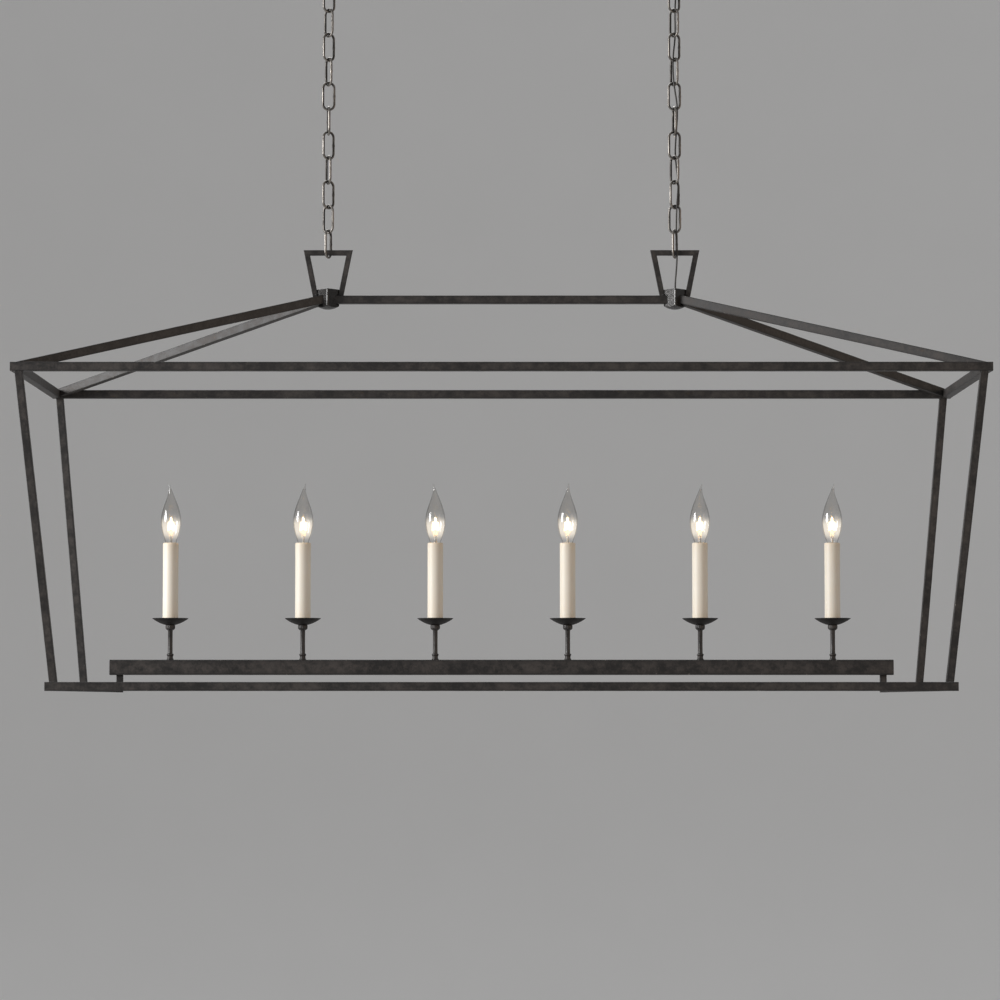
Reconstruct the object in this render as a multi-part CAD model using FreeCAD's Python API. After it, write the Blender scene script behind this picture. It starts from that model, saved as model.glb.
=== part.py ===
# Linear island pendant: an open iron lantern with six candle lamps on two chains.
# Millimetres. X runs along the lantern, Y from front to back, Z up.
# The origin is on the ceiling, midway between the two canopies.
import FreeCAD, Part
import math
import os

V = FreeCAD.Vector
os.makedirs("parts", exist_ok=True)

# ---- Driving dimensions ------------------------------------------------------
# Heights that start with z_ are measured from the underside of the bottom frame.

# top and bottom frames, of square bar
top_length = 1372.0
top_depth = 432.0
bottom_length = 1281.0
bottom_depth = 341.0
frame_bar = 12.7
z_top_rail = 446.0
# corner posts, which lean outwards
post_bar = 11.1
post_inset = 6.0
# roof
hub_spacing = 508.0
hub_side = 24.0
hub_edge = 0.9
z_hub = 557.0
hub_height = 30.0
hub_crown = 5.0
ridge_bar = 12.0
z_ridge = 571.8
z_hip_at_hub = 574.0
cord_hole = 4.2
cord_hole_depth = 14.0
# hangers, of flat bar
hanger_width = 72.2
hanger_foot_width = 43.0
hanger_bar = 8.0
hanger_depth = 5.0
z_hanger_top = 645.0
hanger_foot_gap = 4.0
# light bar and what carries it
light_bar_inset = 71.25
light_bar_size = 22.3
light_bar_wall = 1.6
z_light_bar = 23.2
end_cap = 1.6
plug_depth = 5.0
plug_clearance = 0.2
stub_bar = 9.5
stub_inset = 14.25
brace_bar = 9.5
brace_fall = 2.0
bundle_diameter = 4.8
riser_diameter = 2.2
# candles
candle_count = 6
candle_inset = 87.25
ferrule_diameter = 10.0
ferrule_height = 9.0
stem_diameter = 7.0
stem_height = 33.5
collar_diameter = 14.0
collar_height = 8.0
stud_diameter = 6.0
stud_length = 12.0
stud_below = 6.0
stem_bore = 3.2
pan_diameter = 53.0
pan_floor_margin = 0.8
pan_height = 9.8
pan_wall = 1.3
pan_sag = 0.22
sleeve_diameter = 22.8
sleeve_wall = 1.6
sleeve_height = 118.3
socket_diameter = 16.6
socket_cup = 40.0
socket_top_gap = 8.0
socket_tube = 7.6
socket_edge = 1.0
socket_floor_gap = 1.0
thread_clearance = 0.05
# lamps
base_diameter = 11.8
base_height = 18.0
base_clearance = 0.3
base_above_socket = 2.0
contact_diameter = 5.0
contact_height = 3.0
base_edge = 0.8
glass_seat = 1.0
bulb_diameter = 29.3
bulb_height = 92.6
glass_wall = 0.8
glass_hollow_share = 0.8
mount_diameter = 4.4
mount_height = 20.0
mount_flare = 0.8
mount_foot = 4.0
mount_pinch = 3.0
mount_pinch_share = 0.6
filament_diameter = 1.2
filament_height = 26.0
tip_turns = (200.0, 35.0, 150.0, 300.0, 20.0, 340.0)
# chain links, of round wire
link_wire = 3.6
link_width = 20.0
link_pitch = 36.4
link_gap = 0.25
seat_gap = 0.3
left_turns = (65, -34, 31, -67, 31, 100, 8, -60, 31, -47, 25, 90)
right_turns = (68, -22, 42, -52, 14, -80, 4, -58, 22, -50, 22, 90)
# ceiling fittings
loop_wire = 5.0
loop_width = 26.0
loop_neck = 6.5
loop_neck_flare = 2.0
loop_sink = 1.2
screw_collar = 19.0
screw_collar_height = 10.0
collar_flange = 23.0
flange_height = 2.5
collar_edge = 1.5
nipple_diameter = 9.7
nipple_bore = 6.5
nipple_grip = 7.5
canopy_diameter = 127.0
canopy_height = 24.0
canopy_wall = 1.5
canopy_shoulder = 17.5
canopy_hole_clearance = 0.3
strap_length = 106.0
strap_width = 20.0
strap_thickness = 2.5
strap_corner = 6.0
bolt_spacing = 88.9
bolt_hole = 4.8
nut_across_flats = 14.3
nut_height = 4.0
# lamp cord
cord_diameter = 2.4
cord_arc_share = 0.45
# flat facets round each turned piece, round the end of a link and round a canopy's ring,
# and points along the wall of a pan and the shoulder of a canopy
fine_sides = 20
plain_sides = 10
small_sides = 8
link_end_facets = 4
ring_facets = 12
pan_points = 3
shoulder_points = 4

# ---- Sizes that follow --------------------------------------------------------
hub_x = hub_spacing / 2
hip_z = z_top_rail + frame_bar / 2
hanger_bar_z = z_hanger_top - hanger_bar / 2
arc_radius = (link_width - link_wire) / 2
link_line = link_pitch + link_wire + link_gap
link_count = len(left_turns)
# the link's arc stands so far above the hanger bar that the bar's corners clear it at any tilt
arc_above_bar = arc_radius - link_wire / 2 - seat_gap - math.hypot(hanger_bar, hanger_depth) / 2
z_first_link = hanger_bar_z + arc_above_bar - arc_radius
z_chain_top = z_first_link + (link_count - 1) * link_pitch + link_line
loop_radius = (loop_width - loop_wire) / 2
z_loop_low = z_chain_top - (link_wire + loop_wire) / 2 - seat_gap
z_loop = z_loop_low + loop_radius
z_collar = z_loop + loop_radius + loop_wire / 2 - loop_sink
drop = z_collar + screw_collar_height + canopy_height
z_bar_top = z_light_bar + light_bar_size
z_pan = z_bar_top + ferrule_height + stem_height + collar_height
z_sleeve = z_pan + pan_wall
z_sleeve_top = z_sleeve + sleeve_height
z_socket_top = z_sleeve_top - socket_top_gap
z_base = z_socket_top + base_above_socket - base_height
z_glass = z_base + base_height
light_bar_length = bottom_length - 2 * light_bar_inset
stub_x = light_bar_length / 2 - stub_inset
candle_pitch = (light_bar_length - 2 * candle_inset) / (candle_count - 1)
candle_x = [candle_pitch * (i - (candle_count - 1) / 2) for i in range(candle_count)]


# ---- Shapes ---------------------------------------------------------------------
def box(low, high):
    low, high = V(*low), V(*high)
    return Part.makeBox(high.x - low.x, high.y - low.y, high.z - low.z, low)


def flat_face(corners):
    """A flat face through corners, without any corner that repeats the one before it."""
    kept = [c for c, before in zip(corners, corners[-1:] + corners[:-1]) if c.distanceToPoint(before) > 1e-6]
    return Part.Face(Part.makePolygon(kept + kept[:1])) if len(kept) > 2 else None


def skin(rings, loop=False):
    """A solid of flat facets between rings of points, which meet in a loop or end in flat faces."""
    faces = [] if loop else [flat_face(rings[0]), flat_face(rings[-1])]
    for low, high in zip(rings, rings[1:] + rings[:1] if loop else rings[1:]):
        for this, following in zip(range(len(low)), list(range(1, len(low))) + [0]):
            faces.append(flat_face([low[this], low[following], high[following], high[this]]))
    solid = Part.Solid(Part.Shell([face for face in faces if face]))
    if solid.Volume < 0:
        solid.reverse()
    return solid.removeSplitter()


def ring(radius, height, sides):
    angles = [2 * math.pi * i / sides for i in range(sides)]
    return [V(radius * math.cos(a), radius * math.sin(a), height) for a in angles]


def rod(radius, low, high, x=0.0, sides=small_sides):
    """An upright rod in flat facets, with its corners at the radius."""
    return place(skin([ring(radius, low, sides), ring(radius, high, sides)]), x)


def drill(radius, low, high, x=0.0, sides=small_sides):
    """An upright hole's cutter in flat facets, with its flats at the radius."""
    return rod(radius / math.cos(math.pi / sides), low, high, x, sides)


def bar(start, end, width, height):
    """A rectangular bar between two points, with upright sides."""
    start, end = V(*start), V(*end)
    along = (end - start).normalize()
    side = along.cross(V(0, 0, 1)).normalize() * (width / 2)
    up = side.cross(along).normalize() * (height / 2)
    corners = [start + side + up, start - side + up, start - side - up, start + side - up]
    return Part.Face(Part.makePolygon(corners + corners[:1])).extrude(end - start)


def arc_points(start, middle, end, count):
    """Points of an outline, spaced along the arc through three (radius, height) points."""
    start, middle, end = (V(radius, 0, height) for radius, height in (start, middle, end))
    return [(point.x, point.z) for point in Part.Arc(start, middle, end).toShape().discretize(count)]


def turned(profile, sides):
    """Turns an outline of (radius, height) points about the upright axis in flat facets. An outline
    that starts on the axis ends there too, and any other one is closed."""
    return skin([ring(radius, height, sides) for radius, height in profile], loop=profile[0][0] > 0)


def wire_loop(points, across, diameter, sides):
    """A closed wire of flat-sided section along points in an upright plane. Each ring of the wire lies in
    the plane that halves the turn there, so that straight stretches keep their width."""
    rings = []
    for before, at, after in zip(points[-1:] + points[:-1], points, points[1:] + points[:1]):
        back, ahead = (at - before).normalize(), (after - at).normalize()
        outward = (ahead + back).cross(across).normalize()
        reach = diameter / 2 / math.cos(back.getAngle(ahead) / 2)
        angles = [2 * math.pi * i / sides for i in range(sides)]
        rings.append([at + outward * (reach * math.cos(a)) + across * (diameter / 2 * math.sin(a))
                      for a in angles])
    return skin(rings, loop=True)


def place(shape, x=0.0, z=0.0, turn=0.0):
    shape = shape.copy()
    shape.rotate(V(0, 0, 0), V(0, 0, 1), turn)
    shape.translate(V(x, 0, z))
    return shape


def mirrored(shape, normal):
    return shape.mirror(V(0, 0, 0), V(*normal))


def largest(shape):
    return max(shape.Solids, key=lambda solid: solid.Volume)


def cut_away(shape, *tools):
    for tool in tools:
        shape = shape.cut(tool)
    return largest(shape)


def save(name, shape, hang=True):
    """Writes one node. Pieces of the lantern and chains are lowered from the ceiling by the drop."""
    solids = shape if isinstance(shape, list) else [shape]
    solids = [place(solid, 0, -drop if hang else 0) for solid in solids]
    whole = solids[0] if len(solids) == 1 else Part.makeCompound(solids)
    whole.exportStep("parts/" + name + ".step")


# ---- Frame ------------------------------------------------------------------------
def frame_rails(length, depth, low):
    """Four rails of one frame: the long ones run through, the end ones fit between them."""
    x, y = length / 2, depth / 2
    front = box((-x, -y, low), (x, -y + frame_bar, low + frame_bar))
    left = box((-x, -y + frame_bar, low), (-x + frame_bar, y - frame_bar, low + frame_bar))
    return {"front": front, "back": mirrored(front, (0, 1, 0)),
            "left": left, "right": mirrored(left, (1, 0, 0))}


def corner_post():
    """The front left post: a square bar cut level at both ends, leaning out to the top frame."""
    side_step = (frame_bar - post_bar) / 2
    foot = V(-bottom_length / 2 + post_inset, -bottom_depth / 2 + side_step, frame_bar)
    head = V(-top_length / 2 + post_inset, -top_depth / 2 + side_step, z_top_rail)
    corners = [foot, foot + V(post_bar, 0, 0), foot + V(post_bar, post_bar, 0), foot + V(0, post_bar, 0)]
    return Part.Face(Part.makePolygon(corners + corners[:1])).extrude(head - foot)


def hub(with_cord_hole):
    """A square block set cornerwise, with softened edges and a crowned underside."""
    half, soft = hub_side / 2, hub_side / 2 - hub_edge
    top = z_hub + hub_height
    outline = [(half, soft), (soft, half), (-soft, half), (-half, soft),
               (-half, -soft), (-soft, -half), (soft, -half), (half, -soft)]
    # the crown is a parabola: at each share of the width it has risen by the share squared
    levels = [(share, z_hub + hub_crown * share ** 2) for share in (0.3, 0.6, 0.85, 1.0)] + [(1.0, top)]
    block = place(skin([[V(x * share, y * share, z) for x, y in outline] for share, z in levels]), turn=45)
    return cut_away(block, drill(cord_hole / 2, top - cord_hole_depth, top)) if with_cord_hole else block


def hip():
    """The front left hip bar, coped to the hub and to the corner of the top frame."""
    corner = (-top_length / 2 + frame_bar / 2, -top_depth / 2 + frame_bar / 2, hip_z)
    raw = bar(corner, (-hub_x, 0, z_hip_at_hub), frame_bar, frame_bar)
    front_half = box((-top_length, -top_depth, 0), (0, 0, drop))
    rails = frame_rails(top_length, top_depth, z_top_rail)
    return cut_away(raw.common(front_half), place(hub(False), -hub_x), *rails.values())


def ridge():
    raw = bar((-hub_x, 0, z_ridge), (hub_x, 0, z_ridge), ridge_bar, ridge_bar)
    return cut_away(raw, place(hub(False), -hub_x), place(hub(False), hub_x))


def hanger():
    """The left hanger: mitred flat bar, its legs coped to the hub, the hips and the ridge."""
    half_top, half_foot = hanger_width / 2, hanger_foot_width / 2
    slope = (half_top - half_foot) / (z_hanger_top - z_ridge)
    leg = hanger_bar * math.sqrt(1 + slope ** 2)
    foot = z_ridge - ridge_bar / 2

    def at(height, inward):
        return half_top - slope * (z_hanger_top - height) - inward

    right = [(at(z_hanger_top, 0), z_hanger_top), (at(foot, 0), foot), (at(foot, leg), foot),
             (at(z_hanger_top - hanger_bar, leg), z_hanger_top - hanger_bar)]
    outline = right + [(-x, z) for x, z in reversed(right)]
    points = [V(x - hub_x, -hanger_depth / 2, z) for x, z in outline]
    raw = Part.Face(Part.makePolygon(points + points[:1])).extrude(V(0, hanger_depth, 0))
    below_hips = box((-hub_x - hanger_width, -hanger_width, 0),
                     (-hub_x, hanger_width, z_ridge + hanger_foot_gap))
    below_ridge = box((-hub_x, -hanger_width, 0), (0, hanger_width, z_ridge + ridge_bar / 2))
    front_hip = hip()
    return cut_away(raw, below_hips, below_ridge, place(hub(False), -hub_x), front_hip,
                    mirrored(front_hip, (0, 1, 0)))


# ---- Light bar -----------------------------------------------------------------------
def light_bar():
    """A square tube with a hole in its top for each candle stem."""
    half, side = light_bar_length / 2 - end_cap, light_bar_size / 2
    inner = side - light_bar_wall
    tube = box((-half, -side, z_light_bar), (half, side, z_bar_top))
    z_floor, z_roof = z_light_bar + light_bar_wall, z_bar_top - light_bar_wall
    tube = tube.cut(box((-half, -inner, z_floor), (half, inner, z_roof)))
    for x in candle_x:
        tube = tube.cut(drill(stud_diameter / 2 + thread_clearance, z_roof, z_bar_top, x))
    return tube


def end_plug():
    """The left end cap: a flat plate with a plug that fits in the tube."""
    x, side = -light_bar_length / 2, light_bar_size / 2
    inner = side - light_bar_wall - plug_clearance
    plate = box((x, -side, z_light_bar), (x + end_cap, side, z_bar_top))
    middle = z_light_bar + side
    plug = box((x + end_cap, -inner, middle - inner), (x + end_cap + plug_depth, inner, middle + inner))
    return plate.fuse(plug).removeSplitter()


def stub():
    x, half = -stub_x, stub_bar / 2
    return box((x - half, -half, -brace_fall), (x + half, half, z_light_bar))


def brace():
    """The front left brace, from the corner of the bottom frame to the foot of the stub."""
    corner = (-bottom_length / 2 + frame_bar / 2, -bottom_depth / 2 + frame_bar / 2, brace_bar / 2)
    foot = (-stub_x, 0, brace_bar / 2 - brace_fall)
    front_half = box((-bottom_length, -bottom_depth, -frame_bar), (0, 0, drop))
    rails = frame_rails(bottom_length, bottom_depth, 0)
    return cut_away(bar(corner, foot, brace_bar, brace_bar).common(front_half), stub(), *rails.values())


def wires():
    """The wires in the light bar: a bundle on its floor and a riser up each stem to the socket."""
    radius = bundle_diameter / 2
    z = z_light_bar + light_bar_wall + radius
    end = light_bar_length / 2 - end_cap - plug_depth - radius
    bundle = rod(radius, -end, end)
    bundle.rotate(V(0, 0, 0), V(0, 1, 0), 90)
    bundle.translate(V(0, 0, z))
    for x in candle_x:
        bundle = bundle.fuse(rod(riser_diameter / 2, z, z_pan + stud_length, x))
    return largest(bundle)


# ---- Candles ----------------------------------------------------------------------------
def stem():
    """A turned stem with a ferrule below, a flared collar above, and a stud at each end."""
    bore, stud = stem_bore / 2, stud_diameter / 2
    ferrule, thin, wide = ferrule_diameter / 2, stem_diameter / 2, collar_diameter / 2
    z_ferrule = z_bar_top + ferrule_height
    z_collar_low = z_ferrule + stem_height
    bevel = ferrule_height / 5
    return turned([
        (bore, z_bar_top - stud_below), (stud, z_bar_top - stud_below), (stud, z_bar_top),
        (ferrule, z_bar_top), (ferrule, z_ferrule - bevel), (ferrule - bevel / 2, z_ferrule),
        (thin, z_ferrule), (thin, z_collar_low),
        (thin + bevel / 2, z_collar_low), (wide, z_pan - collar_height / 2), (wide, z_pan),
        (stud, z_pan), (stud, z_pan + stud_length), (bore, z_pan + stud_length)], small_sides)


def pan():
    """A drip pan: a flat floor on the collar, then a wall that flares to a thin rim."""
    hole = (stud_diameter / 2 + thread_clearance) / math.cos(math.pi / plain_sides)
    rim = pan_diameter / 2
    floor = sleeve_diameter / 2 + pan_floor_margin
    middle = (floor + rim) / 2
    low, high = z_pan, z_pan + pan_height
    z_middle, round_lip = low + pan_height * pan_sag, pan_wall / 3
    outer = arc_points((floor, low), (middle, z_middle), (rim, high - pan_wall / 2), pan_points)
    inner = arc_points((rim - pan_wall, high), (middle - round_lip, z_middle + pan_wall),
                       (floor, low + pan_wall), pan_points)
    return turned([(hole, low)] + outer + [(rim - round_lip, high)] + inner + [(hole, low + pan_wall)],
                  plain_sides)


def sleeve():
    outer, soft = sleeve_diameter / 2, sleeve_wall / 3
    inner = outer - sleeve_wall
    return turned([(inner, z_sleeve), (outer, z_sleeve), (outer, z_sleeve_top - soft),
                   (outer - soft, z_sleeve_top), (inner, z_sleeve_top)], plain_sides)


def socket():
    """A lamp socket: a tube that screws on the stud and a cup with the screw bore."""
    stud, tube, cup = stud_diameter / 2 + thread_clearance, socket_tube / 2, socket_diameter / 2
    bore = base_diameter / 2 + base_clearance
    z_cup = z_socket_top - socket_cup
    z_bore = z_base - contact_height - socket_floor_gap
    wire_way = riser_diameter / 2
    return turned([
        (stud, z_sleeve), (tube, z_sleeve), (tube, z_cup - cup / 2), (cup, z_cup),
        (cup, z_socket_top - socket_edge), (cup - socket_edge, z_socket_top), (bore, z_socket_top),
        (bore, z_bore), (wire_way, z_bore), (wire_way, z_pan + stud_length), (stud, z_pan + stud_length)],
        small_sides)


# ---- Lamps ---------------------------------------------------------------------------------
# the glass's outline: share of its height, share of its largest radius, sideways lean of the tip
glass_outline = ((0.0, 0.41, 0.0), (0.24, 0.87, 0.0), (0.40, 1.0, 0.0), (0.54, 0.91, 0.0), (0.68, 0.64, 0.0),
                 (0.80, 0.35, 0.4), (0.91, 0.14, 1.6), (1.0, 0.04, 3.8))


def glass():
    """A bent-tip flame in flat facets, closed at the tip, with a hollow that opens at the neck."""
    def rings(wall, last):
        return [[point + V(lean, 0, 0) for point in ring(width * bulb_diameter / 2 - wall,
                                                         z_glass + share * bulb_height, plain_sides)]
                for share, width, lean in glass_outline if share <= last]

    return cut_away(skin(rings(0, 1)), skin(rings(glass_wall, glass_hollow_share)))


def lamp_base():
    """The screw shell with its insulator and contact, with the seat for the glass on top."""
    shell, contact = base_diameter / 2, contact_diameter / 2
    seat = glass_outline[0][1] * bulb_diameter / 2
    return turned([(0, z_base - contact_height), (contact, z_base - contact_height),
                   (contact, z_base - contact_height / 2), (shell - base_edge, z_base),
                   (shell, z_base + base_edge), (shell, z_glass - glass_seat), (seat, z_glass), (0, z_glass)],
                  small_sides)


def glass_mount():
    """The glass stem in the lamp and the filament that it carries."""
    foot, neck = mount_diameter / 2 + mount_flare, mount_diameter / 2
    top = z_glass + mount_height
    stem_part = turned([(0, z_glass), (foot, z_glass), (neck, z_glass + mount_foot),
                        (neck, top - mount_pinch), (neck * mount_pinch_share, top), (0, top)], small_sides)
    filament = rod(filament_diameter / 2, top, top + filament_height)
    return stem_part, filament


# ---- Chains -----------------------------------------------------------------------------------
def link(z_low, turn):
    """One link: round ends of four facets each and two straights, its lowest centre-line at z_low."""
    straight = link_line - 2 * arc_radius
    facet = math.pi / link_end_facets
    corner = arc_radius / math.cos(facet / 2)
    angles = [facet * (i + 0.5) for i in range(link_end_facets)]
    top = [V(corner * math.cos(a), 0, z_low + arc_radius + straight + corner * math.sin(a)) for a in angles]
    bottom = [V(-corner * math.cos(a), 0, z_low + arc_radius - corner * math.sin(a)) for a in angles]
    return place(wire_loop(top + bottom, V(0, 1, 0), link_wire, small_sides), turn=turn)


def chain(turns, x):
    return [place(link(z_first_link + i * link_pitch, turn), x) for i, turn in enumerate(turns)]


# ---- Ceiling fittings (heights here are below the ceiling) -----------------------------------------
def strap():
    half_width, half_length = strap_width / 2, strap_length / 2
    plate = box((-half_width, -half_length, -strap_thickness), (half_width, half_length, 0))
    upright = [e for e in plate.Edges if abs(e.Vertexes[0].Z - e.Vertexes[1].Z) > strap_thickness / 2]
    plate = plate.makeChamfer(strap_corner, upright)
    for y in (-bolt_spacing / 2, bolt_spacing / 2):
        plate = plate.cut(Part.makeCylinder(bolt_hole / 2, strap_thickness, V(0, y, -strap_thickness)))
    return plate.cut(drill(nipple_diameter / 2 + thread_clearance, -strap_thickness, 0, sides=plain_sides))


def nipple():
    outer, bore = nipple_diameter / 2, nipple_bore / 2
    low = -canopy_height - nipple_grip
    return turned([(bore, low), (outer, low), (outer, 0), (bore, 0)], plain_sides)


def lock_nut():
    low, high = -strap_thickness - nut_height, -strap_thickness
    nut = rod(nut_across_flats / math.sqrt(3), low, high, sides=6)
    return nut.cut(drill(nipple_diameter / 2 + thread_clearance, low, high, sides=plain_sides))


def canopy():
    """A round cover with a rolled shoulder, open towards the ceiling."""
    hole = (nipple_diameter / 2 + canopy_hole_clearance) / math.cos(math.pi / fine_sides)
    rim, low = canopy_diameter / 2, -canopy_height
    flat, shoulder, cos45 = rim - canopy_shoulder, low + canopy_shoulder, math.sqrt(0.5)

    def quarter(radius):
        return arc_points((flat, shoulder - radius), (flat + radius * cos45, shoulder - radius * cos45),
                          (flat + radius, shoulder), shoulder_points)

    outer, inner = quarter(canopy_shoulder), quarter(canopy_shoulder - canopy_wall)
    return turned([(hole, low)] + outer + [(rim, 0), (rim - canopy_wall, 0)] + inner[::-1]
                  + [(hole, low + canopy_wall)], fine_sides)


def canopy_loop():
    """A screw collar that holds the canopy up, with a ring for the chain and a way for the cord."""
    collar, flange = screw_collar / 2, collar_flange / 2
    top, low = -canopy_height, -canopy_height - screw_collar_height
    ring_z = z_loop - drop
    body = turned([(0, low - loop_neck), ((loop_neck + loop_neck_flare) / 2, low - loop_neck),
                   (collar - loop_neck_flare, low), (collar, low + collar_edge),
                   (collar, top - flange_height), (flange, top - flange_height), (flange, top), (0, top)],
                  plain_sides)
    facet = 2 * math.pi / ring_facets
    corner = loop_radius / math.cos(facet / 2)
    angles = [facet * (i + 0.5) for i in range(ring_facets)]
    path = [V(corner * math.cos(a), 0, ring_z + corner * math.sin(a)) for a in angles]
    eye = wire_loop(path, V(0, 1, 0), loop_wire, small_sides)
    thread = drill(nipple_diameter / 2 + thread_clearance, top - nipple_grip, top, sides=plain_sides)
    return cut_away(body.fuse(eye), thread, drill(cord_hole / 2, low - loop_neck - loop_wire, top))


# ---- Lamp cord ------------------------------------------------------------------------------------
# The route from the nipple down through the right chain to the hub: x and y from the chain's
# axis, z from the ceiling. It weaves in and out of the links beside their crossings.
cord_top_route = [
    (0.0, 0.0, -3.0), (0.4, 0.3, -17.0), (0.0, 0.0, -30.0), (0.4, -0.5, -42.0), (4.6, -5.4, -56.0),
    (4.2, -5.35, -73.0)]
cord_run_route = [
    (4.2, -5.35, -73.0), (3.8, -5.3, -90.0), (1.2, 5.4, -126.5), (2.4, 5.7, -162.9), (-2.5, -5.5, -199.3),
    (-1.4, -6.3, -235.7), (5.2, -4.1, -272.1), (2.8, 5.8, -308.5), (0.7, 4.7, -344.9), (6.3, 0.0, -381.3),
    (2.7, -5.9, -417.7), (2.0, -4.6, -454.1), (2.7, -4.65, -468.8)]
cord_drop_route = [
    (2.7, -4.65, -468.8), (3.4, -4.7, -483.5), (2.4, -3.4, -507.5), (0.4, -0.7, -529.5), (0.0, 0.0, -548.5)]


def cord(route):
    """A six-sided cord along straight runs joined by tangent arcs."""
    points = [V(hub_x + x, y, z) for x, y, z in route]
    edges, at = [], points[0]
    for before, corner, after in zip(points, points[1:], points[2:]):
        back, ahead = (before - corner), (after - corner)
        turn = math.pi - back.getAngle(ahead)
        reach = cord_arc_share * min(back.Length, ahead.Length)
        radius = reach / math.tan(turn / 2)
        back.normalize()
        ahead.normalize()
        start, end = corner + back * reach, corner + ahead * reach
        inward = (back + ahead).normalize()
        middle = corner + inward * (radius / math.cos(turn / 2) - radius)
        edges.append(Part.LineSegment(at, start).toShape())
        edges.append(Part.Arc(start, middle, end).toShape())
        print("cord bend radius %.0f mm" % radius)
        at = end
    edges.append(Part.LineSegment(at, points[-1]).toShape())
    path = Part.Wire(edges)
    along = (points[1] - points[0]).normalize()
    side = along.cross(V(0, 1, 0)).normalize()
    angles = [math.pi / 3 * i for i in range(6)]
    corner_points = [points[0] + (side * math.cos(a) + along.cross(side) * math.sin(a)) * (cord_diameter / 2)
                     for a in angles]
    section = Part.makePolygon(corner_points + corner_points[:1])
    tube = path.makePipeShell([section], True, False)
    share = tube.Volume / (Part.Face(section).Area * path.Length)
    print("cord length %.1f mm, volume share %.4f" % (path.Length, share))
    return tube


# ---- Building and writing ----------------------------------------------------------------------------
def corners(shape):
    """The front left piece and its three mirror images."""
    back = mirrored(shape, (0, 1, 0))
    return {"front_left": shape, "front_right": mirrored(shape, (1, 0, 0)),
            "back_left": back, "back_right": mirrored(back, (1, 0, 0))}


def write_frame():
    for side, rail in frame_rails(top_length, top_depth, z_top_rail).items():
        save("top_rail_" + side, rail)
    for side, rail in frame_rails(bottom_length, bottom_depth, 0).items():
        save("bottom_rail_" + side, rail)
    for corner, post in corners(corner_post()).items():
        save("post_" + corner, post)
    for corner, bar_shape in corners(hip()).items():
        save("hip_" + corner, bar_shape)
    save("ridge_bar", ridge())
    save("hub_left", place(hub(False), -hub_x))
    save("hub_right", place(hub(True), hub_x))
    save("hanger_left", hanger())
    save("hanger_right", mirrored(hanger(), (1, 0, 0)))


def write_light_bar():
    save("light_bar", light_bar())
    save("light_bar_caps", [end_plug(), mirrored(end_plug(), (1, 0, 0))])
    save("light_bar_wires", wires())
    save("stub_left", stub())
    save("stub_right", mirrored(stub(), (1, 0, 0)))
    braces = corners(brace())
    save("braces_left", [braces["front_left"], braces["back_left"]])
    save("braces_right", [braces["front_right"], braces["back_right"]])


def write_candles():
    for name, make in (("candle_stems", stem), ("drip_pans", pan), ("candle_sleeves", sleeve),
                       ("lamp_sockets", socket)):
        piece = make()
        save(name, [place(piece, x) for x in candle_x])
    bulb, base, inside = glass(), lamp_base(), glass_mount()
    for number, (x, turn) in enumerate(zip(candle_x, tip_turns), 1):
        save("bulb_%d_glass" % number, place(bulb, x, turn=turn))
        save("bulb_%d_base" % number, [place(piece, x) for piece in (base,) + inside])


def write_chains():
    for side, x, turns in (("left", -hub_x, left_turns), ("right", hub_x, right_turns)):
        links = chain(turns, x)
        save("bottom_link_" + side, links[0])
        save("chain_" + side, links[1:-1])
        save("top_link_" + side, links[-1])


def write_ceiling_fittings():
    def pair(shape):
        return [place(shape, -hub_x), place(shape, hub_x)]

    save("ceiling_straps", pair(strap()), hang=False)
    save("canopy_nipples", pair(nipple()), hang=False)
    save("lock_nuts", pair(lock_nut()), hang=False)
    for side, x in (("left", -hub_x), ("right", hub_x)):
        save("canopy_" + side, place(canopy(), x), hang=False)
        save("canopy_loop_" + side, place(canopy_loop(), x), hang=False)


def write_cord():
    routes = {"cord_top": cord_top_route, "cord_run": cord_run_route, "cord_drop": cord_drop_route}
    for name, route in routes.items():
        save(name, cord(route), hang=False)


write_frame()
write_light_bar()
write_candles()
write_chains()
write_ceiling_fittings()
write_cord()
print("drop from the ceiling %.2f mm" % drop)
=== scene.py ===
"""Linear island pendant: the finished pieces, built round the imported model. Metres, +Z up."""
import math
import bpy
import numpy as np
from bpy.props import FloatProperty, FloatVectorProperty, IntProperty, PointerProperty
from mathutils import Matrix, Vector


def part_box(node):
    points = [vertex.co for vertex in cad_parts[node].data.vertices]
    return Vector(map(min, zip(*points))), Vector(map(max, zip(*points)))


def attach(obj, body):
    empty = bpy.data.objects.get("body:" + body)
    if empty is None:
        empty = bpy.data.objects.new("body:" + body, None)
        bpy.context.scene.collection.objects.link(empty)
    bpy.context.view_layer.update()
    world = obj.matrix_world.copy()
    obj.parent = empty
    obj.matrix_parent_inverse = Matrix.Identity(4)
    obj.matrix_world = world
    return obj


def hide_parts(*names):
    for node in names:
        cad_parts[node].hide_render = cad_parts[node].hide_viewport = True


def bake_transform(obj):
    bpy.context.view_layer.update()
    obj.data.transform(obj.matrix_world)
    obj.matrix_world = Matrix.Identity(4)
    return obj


bl_info = {
    "name": "Linear Island Pendant",
    "version": (1, 0, 0),
    "blender": (4, 5, 0),
    "location": "3D View > Sidebar > Pendant",
    "description": "Builds an open iron lantern with candle lamps, hung on two chains",
    "category": "Object",
}

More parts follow.
